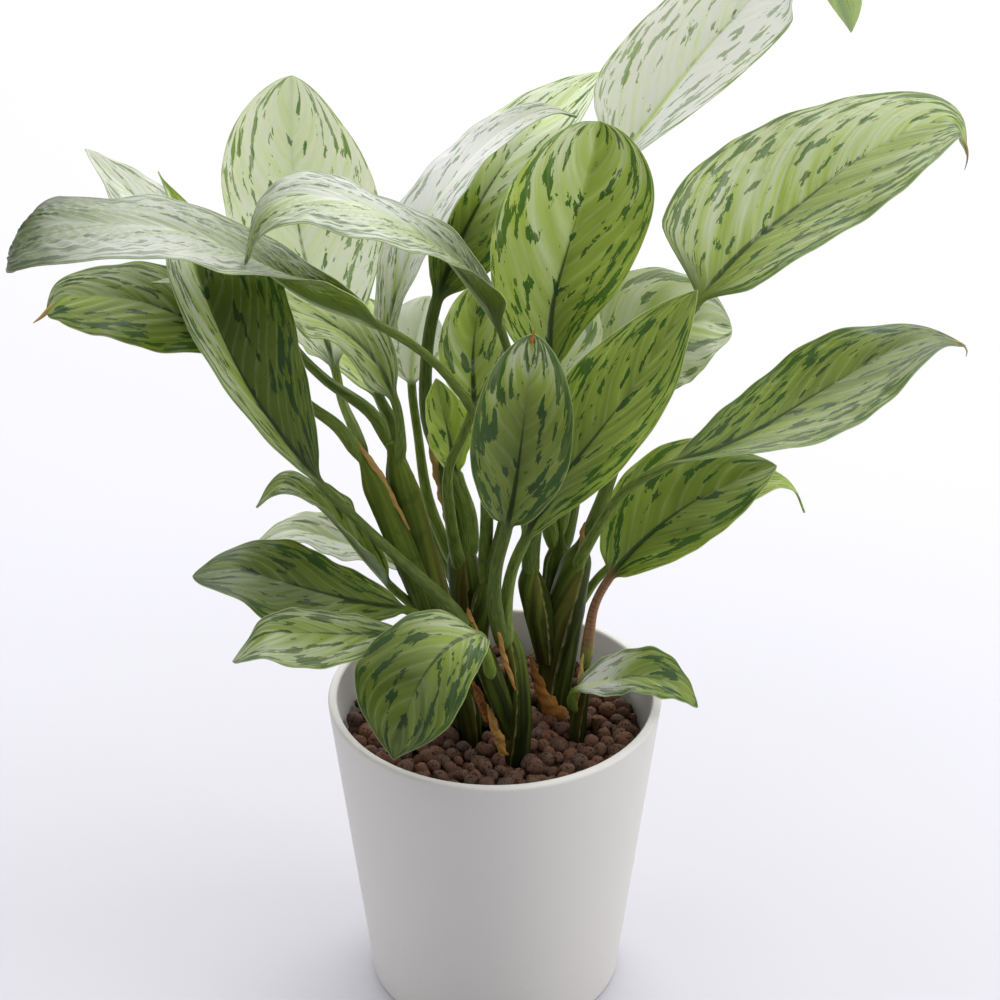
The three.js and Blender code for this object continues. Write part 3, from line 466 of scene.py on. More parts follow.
def smooth_line(points, per_span=32):
    """Samples a centripetal Catmull-Rom curve through the points, as rows of a parameter and a place.

    Each span is a cubic whose end slopes come from the spans beside it, weighted by the square roots of
    their lengths, and beyond both ends the outer spans are mirrored.
    """
    p = np.asarray(points, float)
    p = np.vstack([2 * p[0] - p[1], p, 2 * p[-1] - p[-2]])
    d = np.sqrt(np.linalg.norm(np.diff(p, axis=0), axis=1))[:, None, None]
    a, b, c, e = (p[k : len(p) - 3 + k, None, :] for k in range(4))
    d0, d1, d2 = d[:-2], d[1:-1], d[2:]
    out = d1 * ((b - a) / d0 - (c - a) / (d0 + d1) + (c - b) / d1)
    back = d1 * ((c - b) / d1 - (e - b) / (d1 + d2) + (e - c) / d2)
    t = (np.arange(per_span) / per_span)[None, :, None]
    line = (2 * t**3 - 3 * t**2 + 1) * b + (t**3 - 2 * t**2 + t) * out
    line = line + (3 * t**2 - 2 * t**3) * c + (t**3 - t**2) * back
    line = np.vstack([line.reshape(-1, 3), p[-2]])
    return np.arange(len(line)) / per_span, line


def lengths(line):
    """How far along a sampled line each of its points lies."""
    step = np.linalg.norm(np.diff(line, axis=0), axis=1)
    return np.concatenate([[0], np.cumsum(step)])


def at_lengths(line, shares):
    """Places and unit directions on a sampled line at the given shares of its length."""
    run = lengths(line)
    slope = np.gradient(line, run, axis=0)
    place = np.stack([np.interp(shares * run[-1], run, line[:, k]) for k in range(3)], 1)
    ahead = np.stack([np.interp(shares * run[-1], run, slope[:, k]) for k in range(3)], 1)
    return place, ahead / np.linalg.norm(ahead, axis=1, keepdims=True)


def square_to(vectors, directions):
    """The vectors with their share along the directions taken away, at length 1."""
    left = vectors - np.sum(vectors * directions, axis=1, keepdims=True) * directions
    return left / np.linalg.norm(left, axis=1, keepdims=True)


def swept(points, rows, facing):
    """Stations on the curve of a table's points of x, y, z and a width.

    Returns the place of each, its two cross directions, the first turned towards facing, and as columns its
    share of the curve's length, its length from the start and its width.
    """
    data = np.asarray(points, float)
    knots, line = smooth_line(data[:, :3])
    shares = np.linspace(0, 1, rows)
    place, ahead = at_lengths(line, shares)
    run = lengths(line)
    width = np.interp(np.interp(shares * run[-1], run, knots), np.arange(len(data)), data[:, 3])
    side = square_to(np.broadcast_to(facing, place.shape), ahead)
    return place, side, np.cross(ahead, side), shares[:, None], shares[:, None] * run[-1], width[:, None]


def carried(place, first, second, x, y):
    """A grid of points: each column lies x and y away from its row's place along its two directions."""
    return place[:, None, :] + first[:, None, :] * x[..., None] + second[:, None, :] * y[..., None]


def stacked(*values):
    """Values brought to one shape and laid side by side."""
    return np.stack(np.broadcast_arrays(*values), -1)


def smoothstep(x, low, high):
    """A smooth rise from 0 at low to 1 at high: 3t squared less 2t cubed of the share t between them."""
    t = np.clip((x - low) / (high - low), 0, 1)
    return t * t * (3 - 2 * t)


def bell(x, width):
    """A bell curve of height 1: e to the power of minus the square of x as a share of the width."""
    return np.exp(-((x / width) ** 2))


def blend_three(values, s):
    """Runs smoothly from the first value at 0 over the second at one half to the third at 1."""
    a, b, c = (np.asarray(v, float) for v in values)
    early, late = smoothstep(s, 0, 0.5), smoothstep(s, 0.5, 1)
    if a.ndim:
        early, late = early[:, None], late[:, None]
    return a + (b - a) * early + (c - b) * late


def graded(levels, s):
    """A mark along the blade: one level, or the levels at its base and middle, and at its tip if given."""
    levels = np.atleast_1d(levels)
    middle = levels[min(1, len(levels) - 1)]
    level = levels[0] + (middle - levels[0]) * smoothstep(s, 0.1, 0.6)
    return level + (levels[-1] - middle) * smoothstep(s, 0.6, 0.95)


def tube_faces(rows, columns):
    """Quads of a grid whose columns close round on themselves, and the triangles of its two end caps."""
    i, j = np.meshgrid(np.arange(rows - 1), np.arange(columns), indexing="ij")
    k = (j + 1) % columns
    quads = np.stack([i * columns + j, i * columns + k, (i + 1) * columns + k, (i + 1) * columns + j], -1)
    ring = np.arange(columns)
    ahead = (ring + 1) % columns
    first, last = rows * columns, rows * columns + 1
    start = np.stack([np.full(columns, first), ahead, ring], 1)
    end = np.stack([np.full(columns, last), ring, ahead], 1)
    end[:, 1:] += (rows - 1) * columns
    return quads.reshape(-1, 4), np.vstack([start, end])


def close_tube(grid):
    """The vertices of a tube's grid of rows and columns, and then the middles of its first and last row."""
    ends = np.stack([grid[0].mean(0), grid[-1].mean(0)])
    return np.vstack([grid.reshape(-1, grid.shape[-1]), ends])


def fill_mesh(mesh, vertices, quads, triangles):
    """Writes vertices in millimetres, quads and triangles into an empty mesh, in metres."""
    corners = np.concatenate([quads.ravel(), triangles.ravel()]).astype(np.int32)
    starts = np.concatenate([np.arange(len(quads)) * 4, len(quads) * 4 + np.arange(len(triangles)) * 3])
    mesh.vertices.add(len(vertices))
    mesh.vertices.foreach_set("co", (vertices * MM).astype(np.float32).ravel())
    mesh.loops.add(len(corners))
    mesh.loops.foreach_set("vertex_index", corners)
    mesh.polygons.add(len(starts))
    mesh.polygons.foreach_set("loop_start", starts.astype(np.int32))
    mesh.update(calc_edges=True)
    mesh.validate()
    mesh.shade_smooth()
    mesh.set_sharp_from_angle(angle=SHARP_ANGLE)


def add_piece(name, vertices, quads, triangles, material, slot, stands_for=(), marks=None, vein_map=None):
    """Makes one piece that rides on the body: marks are values per vertex, vein_map a place per vertex."""
    mesh = bpy.data.meshes.new(name)
    fill_mesh(mesh, vertices, quads, triangles)
    for key, values in (marks or {}).items():
        attribute = mesh.attributes.new(key, "FLOAT_VECTOR", "POINT")
        attribute.data.foreach_set("vector", values.astype(np.float32).ravel())
    if vein_map is not None:
        corner = np.empty(len(mesh.loops), np.int32)
        mesh.loops.foreach_get("vertex_index", corner)
        layer = mesh.uv_layers.new(name="veins")
        layer.data.foreach_set("uv", vein_map[corner].astype(np.float32).ravel())
    mesh.materials.append(material)
    piece = bpy.data.objects.new(name, mesh)
    bpy.context.scene.collection.objects.link(piece)
    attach(piece, "root")
    if stands_for:
        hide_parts(*stands_for)


def add_tubes(name, tubes, material, slot, stands_for=()):
    """One piece of closed tubes, each given as a grid of places, a grid of its vein map and its marks."""
    quads, caps, count = [], [], 0
    for grid, _, _ in tubes:
        found = tube_faces(*grid.shape[:2])
        quads.append(found[0] + count)
        caps.append(found[1] + count)
        count += grid.shape[0] * grid.shape[1] + 2
    vertices, veins = (np.vstack([close_tube(tube[k]) for tube in tubes]) for k in range(2))
    marks = {key: np.vstack([close_tube(tube[2][key]) for tube in tubes]) for key in tubes[0][2]}
    faces = (np.vstack(quads), np.vstack(caps))
    add_piece(name, vertices, *faces, material, slot, stands_for, marks, veins)


# Leaf surfaces


def outline(s, widest, blunt):
    """Half the blade's width as a share of its greatest: a sine rising from the base, a cosine to the tip."""
    rise = np.sin(0.5 * np.pi * np.clip(s / widest, 0, 1)) ** blunt[0]
    fall = np.clip(np.cos(0.5 * np.pi * np.clip((s - widest) / (1 - widest), 0, 1)), 0, 1) ** blunt[1]
    return np.where(s < widest, rise, fall)


def rooted(petiole):
    """The petiole's points with its foot moved most of the way to the axis of the nearest limb."""
    axes = np.vstack([smooth_line(np.array(limb)[:, :3])[1] for limbs in SHOOTS.values() for limb in limbs])
    foot = np.array(petiole[0], float)
    nearest = axes[np.argmin(np.linalg.norm(axes - foot, axis=1))]
    return [tuple(foot + FOOT_PULL * (nearest - foot))] + petiole[1:]


def leaf_lines(leaf, settings):
    """The leaf's stations: place, direction and upward normal, s, 0 at the blade's base, and two lengths."""
    knots, line = smooth_line(rooted(leaf["petiole"]) + leaf["rib"])
    run = lengths(line)
    base = np.interp(len(leaf["petiole"]), knots, run) / run[-1]
    below = np.linspace(0, base, settings.petiole_rows, endpoint=False)
    shares = np.concatenate([below, np.linspace(base, 1, settings.blade_rows)])
    place, ahead = at_lengths(line, shares)
    s = (shares - base) / (1 - base)
    facing = [np.asarray(f, float) / np.linalg.norm(f) for f in leaf["facing"]]
    normal = square_to(blend_three(facing, np.clip(s, 0, 1)), ahead)
    return place, ahead, normal, s, run[-1] * (1 - base), run[-1] * base


def leaf_surface(leaf, seed, settings):
    """The leaf's places, vein map and marks, on a grid of stations along it and columns round its section.

    A column's t runs over the top from -1, the left edge, to 1, the right edge, and back below. The blade
    at t lies half * t across and half * |t| * sin(fold) up, with |t| rounded off at the midrib, its halves
    crowned by a parabola, its lateral veins raised by a sine of the vein coordinate, its edges waved by two
    sines of s that grow with t, and its midrib sunk above and raised below by a bell curve. The petiole is a
    circle with a shallow groove, and the two sections are mixed by a smooth share where the blade starts. A
    lateral vein leaves the midrib forwards and bends further forward towards the edge, as a circle does.
    """
    place, ahead, normal, s, blade_length, petiole_length = leaf_lines(leaf, settings)
    draw = np.random.default_rng(seed)
    x = np.linspace(-1, 1, settings.columns)
    one_face = 0.75 * x + 0.25 * x**3
    t = np.concatenate([one_face, one_face[::-1]])[None, :]
    side = np.repeat([1.0, -1.0], len(x))[None, :]
    blade_s = np.clip(s, 0, 1)
    shapes = [outline(blade_s, widest, leaf["blunt"]) for widest in leaf["widest"]]
    halves = [np.maximum(0.3, leaf["width"] / 2 * leaf["halves"][k] * shapes[k]) for k in range(2)]
    half = np.where(t < 0, halves[0][:, None], halves[1][:, None])
    fold = np.radians(blend_three([float(f) for f in leaf["fold"]], blade_s))[:, None]
    s, blade_s = s[:, None], blade_s[:, None]
    reach = np.abs(t)
    distance = half * reach

    # Waves of the edges, and the veins' paths and height
    swell = 4 * blade_s * (1 - blade_s)
    first = leaf["width"] + leaf["rib"][0][0]
    slow_start = np.where(t < 0, first, first + 2.1)
    quick_start = np.where(t < 0, draw.uniform(0, 6), draw.uniform(0, 6))
    wave = 0
    for (height, count, growth), start in zip(EDGE_WAVES, (slow_start, quick_start)):
        wave = wave + height * swell * np.sin(2 * np.pi * count * blade_s + start) * reach**growth
    vein_along = VEIN_FORWARD * reach + VEIN_BEND * (1 - np.sqrt(1 - 0.98 * t**2))
    vein = s * blade_length - blade_length * vein_along
    vein_out = np.sqrt((half * t) ** 2 + (blade_length * vein_along) ** 2)
    relief = leaf["ridges"] * np.sin(2 * np.pi * vein * MM / settings.vein_gap + 2 * np.sign(t))
    relief = relief * smoothstep(distance, 1, 7) * (1 - reach**4) * smoothstep(blade_s, 0.03, 0.2)

    # The blade's section
    thick = settings.blade_thickness / MM * (0.5 - 0.26 * reach)
    taper = 1 - 0.85 * smoothstep(blade_s, 0.05, 0.9)
    groove = -GROOVE_DEPTH * bell(distance, GROOVE_WIDTH) * taper
    ridge = -(RIDGE_LEAST + RIDGE_HEIGHT * taper) * bell(distance, RIDGE_WIDTH)
    soft = np.sqrt(t**2 + 0.0009) - 0.03
    crown = CROWN * half * 4 * reach * (1 - reach)
    flat_x = half * t * np.cos(fold)
    flat_y = half * soft * np.sin(fold) + crown + wave + relief
    flat_y = flat_y + side * thick / np.cos(fold) + np.where(side > 0, groove, ridge)

    # The petiole's section, and the two mixed
    angle = side * (np.pi / 2 - PETIOLE_HALF_TURN * t)
    along = np.clip(1 + s * blade_length / petiole_length, 0, 1)
    foot, neck = settings.petiole_foot / MM * leaf["stout"], settings.petiole_neck / MM * leaf["stout"]
    radius = foot + (neck - foot) * smoothstep(along, 0.1, 0.85)
    radius = radius * (0.3 + 0.7 * smoothstep(along * petiole_length, 0, PETIOLE_SWELL))
    channel = 1 - 0.2 * bell(angle - np.pi / 2, 0.5) * smoothstep(along, 0.1, 0.5)
    share = smoothstep(s, 0, BLADE_START)
    out_x = radius * channel * np.cos(angle) * (1 - share) + flat_x * share
    out_y = radius * channel * np.sin(angle) * (1 - share) + flat_y * share

    # The vein map, which runs round the petiole too, and the marks
    bladed = stacked(np.sign(t) * vein_out, vein)
    stalked = stacked(s * blade_length, radius * angle)
    veins = np.where(share[..., None] > 0.02, bladed, stalked) / VEIN_UNIT + draw.uniform(0, 40, 2)
    # Painted light: lean gives one half more tone and silver, for the side that the light falls on, and the
    # painted shade is graded along the blade.
    left = -np.sign(t) / 2
    marks = {
        "blade": (t, s, side),
        "grown": (share, distance, half * (1 - reach)),
        "kind": (
            graded(leaf["tone"], blade_s) + leaf["lean"][0] * left,
            graded(leaf["silver_and_sheen"], blade_s) + leaf["lean"][1] * left,
            leaf["edge"],
        ),
        "flush_and_painted_shade": (leaf["flush"] * smoothstep(along, 0.1, 0.5), graded(leaf["painted_shade"], blade_s), 0 * out_x),
    }
    grid = carried(place, np.cross(ahead, normal), normal, out_x, out_y)
    return grid, veins, {key: stacked(*values) for key, values in marks.items()}


# Surfaces of shoots and dried scraps


def limb_surface(points, seed, settings):
    """One limb as a tube: its radius grows round it, so that it steps down where the clasping sheath laps.

    With phi the share of the turn from one lap to the next, two laps to a turn, the radius is the limb's own
    times 1 + lap * phi, with shallow ribs; over the last stretch it draws in to the petiole that it holds.
    """
    place, side, up, shares, length, radius = swept(points, settings.rows, (1.0, 0.0, 0.0))
    turn = 2 * np.pi * np.arange(settings.columns) / settings.columns
    draw = np.random.default_rng(seed)
    start = draw.uniform(0, 2 * np.pi)
    phi = np.mod((turn - start - 1.1 * shares) / (2 * np.pi) * 2, 1)
    ribs = 0.012 * np.sin(9 * turn) + 0.008 * np.sin(23 * turn + 1)
    draw_in = smoothstep(length, length[-1] - settings.closing / MM, length[-1])
    wide = radius * (0.93 + settings.lap * phi + ribs)
    wide = wide * (1 - draw_in) + settings.closed_radius / MM * draw_in
    # The height mark lets the colour paint shade at the foot and light higher up.
    height = np.clip((place[:, 2] - SHEATH_FOOT) / SHEATH_RISE, 0, 1)[:, None]
    shift = draw.uniform(0, 40, 2)
    veins = stacked(length / VEIN_UNIT + shift[0], phi * 2 * np.pi * radius / VEIN_UNIT + shift[1])
    grid = carried(place, side, up, wide * np.cos(turn), wide * np.sin(turn))
    return grid, veins, {"limb": stacked(draw_in, height, phi)}


def scrap_surface(scrap, seed, settings):
    """A scrap of dried sheath: a ragged strip along a curve, bent round it and crumpled, with two faces.

    A column at x, from -1 to 1, stands at the angle x * curl / 2 on an arc as long as the strip is wide. The
    strip's edges wander by three sines of its length, and its faces by two more.
    """
    place, normal, across, _, length, wide = swept(scrap["points"], settings.rows, scrap["facing"])
    draw = np.random.default_rng(seed)
    x = np.linspace(-1, 1, settings.columns)
    x = np.concatenate([x, x[::-1]])[None, :]
    side = np.repeat([1.0, -1.0], settings.columns)[None, :]
    phase = draw.uniform(0, 2 * np.pi, 5)
    ragged = 0.2 * np.sin(length * 0.5 + phase[0] + 2 * np.sign(x))
    ragged = ragged + 0.05 * np.sin(length * 1.3 + phase[1] - np.sign(x))
    ragged = ragged + 0.03 * np.sin(length * 3.1 + phase[2])
    half = wide * (1 + ragged * np.abs(x) ** 3)
    bend = math.radians(scrap["curl"]) / 2
    angle = x * bend
    crumple = 0.3 * np.sin(length * 0.8 + 3 * x + phase[3]) + 0.15 * np.sin(length * 2.3 - 5 * x + phase[4])
    thick = settings.thickness / MM / 2 * side * np.minimum(wide, 1)
    out_x = half * np.sin(angle) / bend + thick * np.sin(angle)
    out_y = half * (np.cos(angle) - 1) / bend + thick * np.cos(angle) + crumple * np.minimum(wide / 3, 1)
    veins = stacked(length, half * x) / VEIN_UNIT + draw.uniform(0, 40, 2)
    grid = carried(place, across, normal, out_x, out_y)
    return grid, veins, {"dryness": np.broadcast_to([scrap["dryness"], 0, 0], grid.shape)}


def tip_surface(points, seed):
    """A dried tip: a round tapered tube along a curve, with its marks as a scrap has them."""
    place, side, up, _, length, radius = swept(points, TIP_ROWS, (0.0, 1.0, 0.0))
    turn = 2 * np.pi * np.arange(TIP_COLUMNS) / TIP_COLUMNS
    grid = carried(place, side, up, radius * np.cos(turn), radius * np.sin(turn))
    veins = stacked(length / VEIN_UNIT + seed, radius * turn / VEIN_UNIT)
    return grid, veins, {"dryness": np.broadcast_to([TIP_DRYNESS, 0, 0], grid.shape)}


# Node helpers


class Graph:
    """Adds nodes to a shader tree and links their sockets, so that a pattern reads as one expression."""

    def __init__(self, tree):
        self.tree = tree

    def feed(self, inputs, values):
        """Links each value that is a socket and holds the others; a colour gets its fourth number."""
        for key, value in values.items():
            if isinstance(value, bpy.types.NodeSocket):
                self.tree.links.new(value, inputs[key])
            else:
                inputs[key].default_value = (*value, 1.0) if isinstance(value, Color) else value

    def node(self, kind, values=None, **settings):
        """A new node with the given settings, its sockets fed with the values."""
        made = self.tree.nodes.new(kind)
        for key, value in settings.items():
            setattr(made, key, value)
        self.feed(made.inputs, values or {})
        return made

    def surface(self, **values):
        """Feeds the Principled BSDF, whose sockets are named here with underscores for spaces."""
        inputs = self.tree.nodes["Principled BSDF"].inputs
        self.feed(inputs, {key.replace("_", " "): value for key, value in values.items()})

    def math(self, operation, a, b=0.0):
        return self.node("ShaderNodeMath", {0: a, 1: b}, operation=operation).outputs[0]

    def times(self, a, b):
        return self.math("MULTIPLY", a, b)

    def minus(self, a, b):
        return self.math("SUBTRACT", a, b)

    def sum(self, start, *terms, clamp=False):
        """The start plus each value times its factor; clamp keeps the whole between 0 and 1."""
        total = start
        for value, factor in terms:
            made = self.node("ShaderNodeMath", {0: value, 1: factor, 2: total}, operation="MULTIPLY_ADD")
            total = made.outputs[0]
        made.use_clamp = clamp
        return total

    def mix(self, factor, a, b):
        """The colour a at factor 0 and b at 1."""
        return self.node("ShaderNodeMix", {0: factor, 6: a, 7: b}, data_type="RGBA").outputs[2]

    def over(self, ground, colour, mask, strength):
        """The ground with a colour laid over it where the mask is 1, at a strength from 0 to 1."""
        return self.mix(self.times(mask, strength), ground, colour)

    def rise(self, value, low, high):
        """A smooth rise from 0 at low to 1 at high."""
        inputs = {"Value": value, "From Min": low, "From Max": high}
        return self.node("ShaderNodeMapRange", inputs, interpolation_type="SMOOTHSTEP").outputs[0]

    def between(self, value, low, high):
        """A value of 0 to 1 brought to the range from low to high."""
        return self.node("ShaderNodeMapRange", {"Value": value, "To Min": low, "To Max": high}).outputs[0]

    def stretched(self, vector, x, y):
        """A vector whose first two numbers are multiplied, so that a noise of it is drawn out or squeezed."""
        values = {0: vector, 1: (x, y, 1.0)}
        return self.node("ShaderNodeVectorMath", values, operation="MULTIPLY").outputs[0]

    def shade(self, colour, factor):
        """The colour made darker or lighter by a factor."""
        return self.node("ShaderNodeVectorMath", {0: colour, "Scale": factor}, operation="SCALE").outputs[0]

    def noise(self, vector, scale=1.0, detail=2.0, roughness=0.5):
        values = {"Vector": vector, "Scale": scale, "Detail": detail, "Roughness": roughness}
        return self.node("ShaderNodeTexNoise", values).outputs[0]

    def bump(self, height, strength, distance):
        """A normal raised by a height that varies over the surface."""
        values = {"Height": height, "Strength": strength, "Distance": distance}
        return self.node("ShaderNodeBump", values).outputs[0]

    def parts(self, vector):
        """A vector's three numbers."""
        return self.node("ShaderNodeSeparateXYZ", {0: vector}).outputs

    def mark(self, name):
        """The three values of a piece's mark."""
        return self.parts(self.node("ShaderNodeAttribute", attribute_name=name).outputs["Vector"])

    def place(self):
        """A point's place in its object."""
        return self.node("ShaderNodeTexCoord").outputs["Object"]

    def veins(self):
        """A point's place on the vein map."""
        return self.node("ShaderNodeUVMap", uv_map="veins").outputs[0]

    def markings(self, vector, threshold):
        """The outputs of the shared group of markings."""
        values = {"Vector": vector, "Threshold": threshold}
        return self.node("ShaderNodeGroup", values, node_tree=markings_group()).outputs


def markings_group():
    """Streaks and ragged blotches drawn out along the first coordinate, for blades, petioles and shoots.

    Blotch is the share of a slow noise above a threshold, its edge broken up by a fine noise; Streak is a
    slow noise that is long one way, Line a narrower one and Fibre a fine one. The group is made once.
    """
    if MARKINGS in bpy.data.node_groups:
        return bpy.data.node_groups[MARKINGS]
    tree = bpy.data.node_groups.new(MARKINGS, "ShaderNodeTree")
    tree.interface.new_socket("Vector", in_out="INPUT", socket_type="NodeSocketVector")
    tree.interface.new_socket("Threshold", in_out="INPUT", socket_type="NodeSocketFloat")
    for name in ("Blotch", "Streak", "Line", "Fibre"):
        tree.interface.new_socket(name, in_out="OUTPUT", socket_type="NodeSocketFloat")
    graph = Graph(tree)
    place, threshold = graph.node("NodeGroupInput").outputs[:2]
    coarse = graph.noise(graph.stretched(place, 0.82, 0.74), detail=1.0)
    ragged = graph.noise(graph.stretched(place, 3.2, 4.2), roughness=0.6)
    edge = graph.sum(-0.18, (coarse, 1.0), (ragged, 0.36), (threshold, -1.0))
    values = {
        "Blotch": graph.rise(edge, 0.0, 0.018),
        "Streak": graph.noise(graph.stretched(place, 0.14, 0.7)),
        "Line": graph.noise(graph.stretched(place, 0.16, 2.6)),
        "Fibre": graph.noise(graph.stretched(place, 1.2, 22.0), roughness=0.6),
    }
    graph.node("NodeGroupOutput", values)
    return tree


def new_material(name):
    """A material with one Principled BSDF, and the graph of its tree."""
    material = bpy.data.materials.new(name)
    material.use_nodes = True
    return material, Graph(material.node_tree)


def leaf_material(look):
    """The leaf's skin: pale to silvery green with dark ragged blotches that follow the lateral veins.

    It reads the vein map, in centimetres along and across the lateral veins, and four marks. blade holds
    t, s and the side, 1 above and -1 below. grown holds the share that is blade and not petiole, and the
    millimetres from the midrib and from the edge. kind holds the leaf's tone, silver and edge, and the fourth
    mark its flush and painted shade. The silvery ground is partly the leaf's own silver and partly painted
    sheen, and the painted shade darkens the whole colour where the leaf lies in shade.
    """
    material, graph = new_material("leaf_skin")
    veins = graph.veins()
    t, along, side = graph.mark("blade")
    share, distance, inset = graph.mark("grown")
    tone, silver_and_sheen, edge = graph.mark("kind")
    flush, painted_shade = graph.mark("flush_and_painted_shade")[:2]
    reach = graph.math("ABSOLUTE", t)
    slow = graph.minus(graph.noise(veins, 0.24, 1.0), 0.5)
    row = graph.times(graph.rise(inset, 0.0, 4.0), graph.rise(inset, 15.0, 5.0))
    crowd = graph.sum(0.0, (graph.rise(reach, 0.1, 0.75), 0.8), (slow, 1.6), (row, 0.5))
    threshold = graph.sum(0.655, (crowd, -0.1), (tone, 0.02), (edge, -0.03))
    markings = graph.markings(veins, threshold)
    fibre = markings["Fibre"]
    waver = graph.minus(markings["Streak"], 0.5)
    line = graph.minus(markings["Line"], 0.5)

    # The ground, from deep over fresh to pale green, under silver with painted sheen and faint veins
    pale = graph.sum(0.0, (tone, 1.0), (waver, 0.55), (slow, 0.25), clamp=True)
    ground = graph.mix(graph.between(pale, 0.0, 2.0), look.deep, look.fresh)
    ground = graph.mix(graph.sum(-1.0, (pale, 2.0), clamp=True), ground, look.pale)
    # Painted sheen: the silvery share grows towards the edges, and its silver colours partly stand for
    # reflected light.
    outward = graph.rise(reach, 0.1, 0.7)
    silver_and_sheen_share = graph.sum(-0.5, (silver_and_sheen, 1.45), (waver, 1.6), (line, 1.6), (outward, 0.25), clamp=True)
    sheen = graph.mix(tone, look.grey_silver_and_sheen, look.silver_and_sheen)
    ground = graph.mix(silver_and_sheen_share, ground, sheen)
    vein_place = graph.sum(0.0, (graph.parts(veins)[1], 1.0), (slow, 1.6))
    vein_line = graph.minus(1.0, graph.rise(graph.math("PINGPONG", vein_place, 0.6), 0.0, 0.26))
    vein_line = graph.times(vein_line, graph.rise(fibre, 0.25, 0.75))
    ground = graph.over(ground, look.vein, vein_line, 0.2)

    # The upper side: blotches, dark margin, thin rim and midrib over the ground
    dark = graph.mix(tone, look.blotch, look.blotch_pale)
    # Where the ground is silvery, the blotches turn greyer under its painted sheen.
    dark = graph.mix(silver_and_sheen_share, dark, graph.mix(tone, look.blotch_grey, look.blotch_silver))
    blotch = graph.times(markings["Blotch"], graph.times(share, graph.sum(1.0, (silver_and_sheen_share, -0.4))))
    top = graph.mix(blotch, ground, dark)
    band = graph.sum(-1.1, (edge, 3.0), (graph.times(waver, edge), 16.0), (fibre, 0.8))
    margin = graph.minus(1.0, graph.rise(graph.minus(inset, band), -0.4, 0.4))
    top = graph.over(top, dark, margin, 0.8)
    top = graph.over(top, look.rim, graph.rise(inset, 0.7, 0.1), 0.45)
    rib_edge = graph.sum(-2.2, (distance, 1.0), (graph.rise(along, 0.0, 0.85), 1.9), (fibre, 1.0))
    rib = graph.minus(1.0, graph.rise(rib_edge, -0.4, 0.4))
    rib = graph.times(rib, graph.minus(1.0, graph.rise(along, 0.55, 0.95)))
    top = graph.over(top, graph.mix(silver_and_sheen_share, look.midrib, look.vein), rib, 0.85)

    # The underside, the petiole and all of them together
    under = graph.over(look.under, look.under_pale, pale, 0.7)
    under = graph.over(under, sheen, silver_and_sheen_share, 0.35)
    under = graph.over(under, look.blotch, blotch, 0.4)
    under = graph.over(under, look.vein, rib, 0.4)
    skin = graph.mix(graph.rise(side, -0.1, 0.1), under, top)
    ring = graph.rise(graph.noise(graph.stretched(veins, 13.0, 0.5), detail=1.0), 0.42, 0.58)
    stalk = graph.mix(graph.rise(fibre, 0.3, 0.7), look.stalk, look.stalk_pale)
    stalk = graph.mix(flush, stalk, graph.mix(ring, look.flush, look.flush_pale))
    skin = graph.mix(share, stalk, skin)
    # The painted shade darkens the colour where a leaf lies in shade; below 0 it lightens it as painted
    # light.
    graph.surface(
        Base_Color=graph.shade(skin, graph.sum(0.89, (fibre, 0.22), (painted_shade, -0.4))),
        Roughness=graph.sum(look.roughness + 0.05, (waver, 0.5), (share, -0.1)),
        Coat_Weight=graph.times(share, look.coat), Coat_Roughness=0.22, IOR=1.43, Specular_IOR_Level=0.32,
        Subsurface_Weight=0.45, Subsurface_Scale=0.003, Subsurface_Radius=(0.9, 1.0, 0.5),
        Normal=graph.bump(graph.sum(0.0, (fibre, 1.0), (vein_line, 0.5)), 0.25, 0.0004),
    )
    return material


def pot_material(look):
    """Off-white matte glaze: faint cloudy tone, a few fine specks and a very fine orange-peel bump."""
    material, graph = new_material("pot_glaze")
    place = graph.place()
    cloud = graph.noise(place, 9.0, 3.0, 0.55)
    speck = graph.rise(graph.noise(place, 620.0, 1.0), 0.74, 0.8)
    colour = graph.mix(cloud, look.colour, look.colour_warm)
    graph.surface(
        Base_Color=graph.over(colour, look.speck, speck, 0.25),
        Roughness=graph.between(cloud, 0.48, 0.62), IOR=1.46, Coat_Weight=0.08, Coat_Roughness=0.45,
        Normal=graph.bump(graph.noise(place, 420.0), 0.12, 0.0003),
    )
    return material


def pebble_material(look):
    """Fired clay: each pebble its own brown, with dusty patches, pits and a rough matte skin."""
    material, graph = new_material("clay")
    place = graph.place()
    own = graph.mark("pebble")
    colour = graph.mix(graph.rise(own[0], 0.15, 0.85), look.colour, look.colour_red)
    colour = graph.mix(graph.rise(own[1], 0.55, 1.0), colour, look.colour_grey)
    dust = graph.rise(graph.noise(place, 230.0, 4.0, 0.6), 0.42, 0.7)
    colour = graph.over(colour, look.dust, dust, 0.5)
    pit = graph.rise(graph.noise(place, 620.0), 0.3, 0.45)
    height = graph.math("ADD", graph.noise(place, 420.0, 4.0, 0.65), graph.times(pit, 0.5))
    graph.surface(
        Base_Color=graph.mix(pit, look.pit, colour), Roughness=graph.between(dust, 0.82, 0.97),
        IOR=1.4, Specular_IOR_Level=0.25, Normal=graph.bump(height, 0.7, 0.0012),
    )
    return material


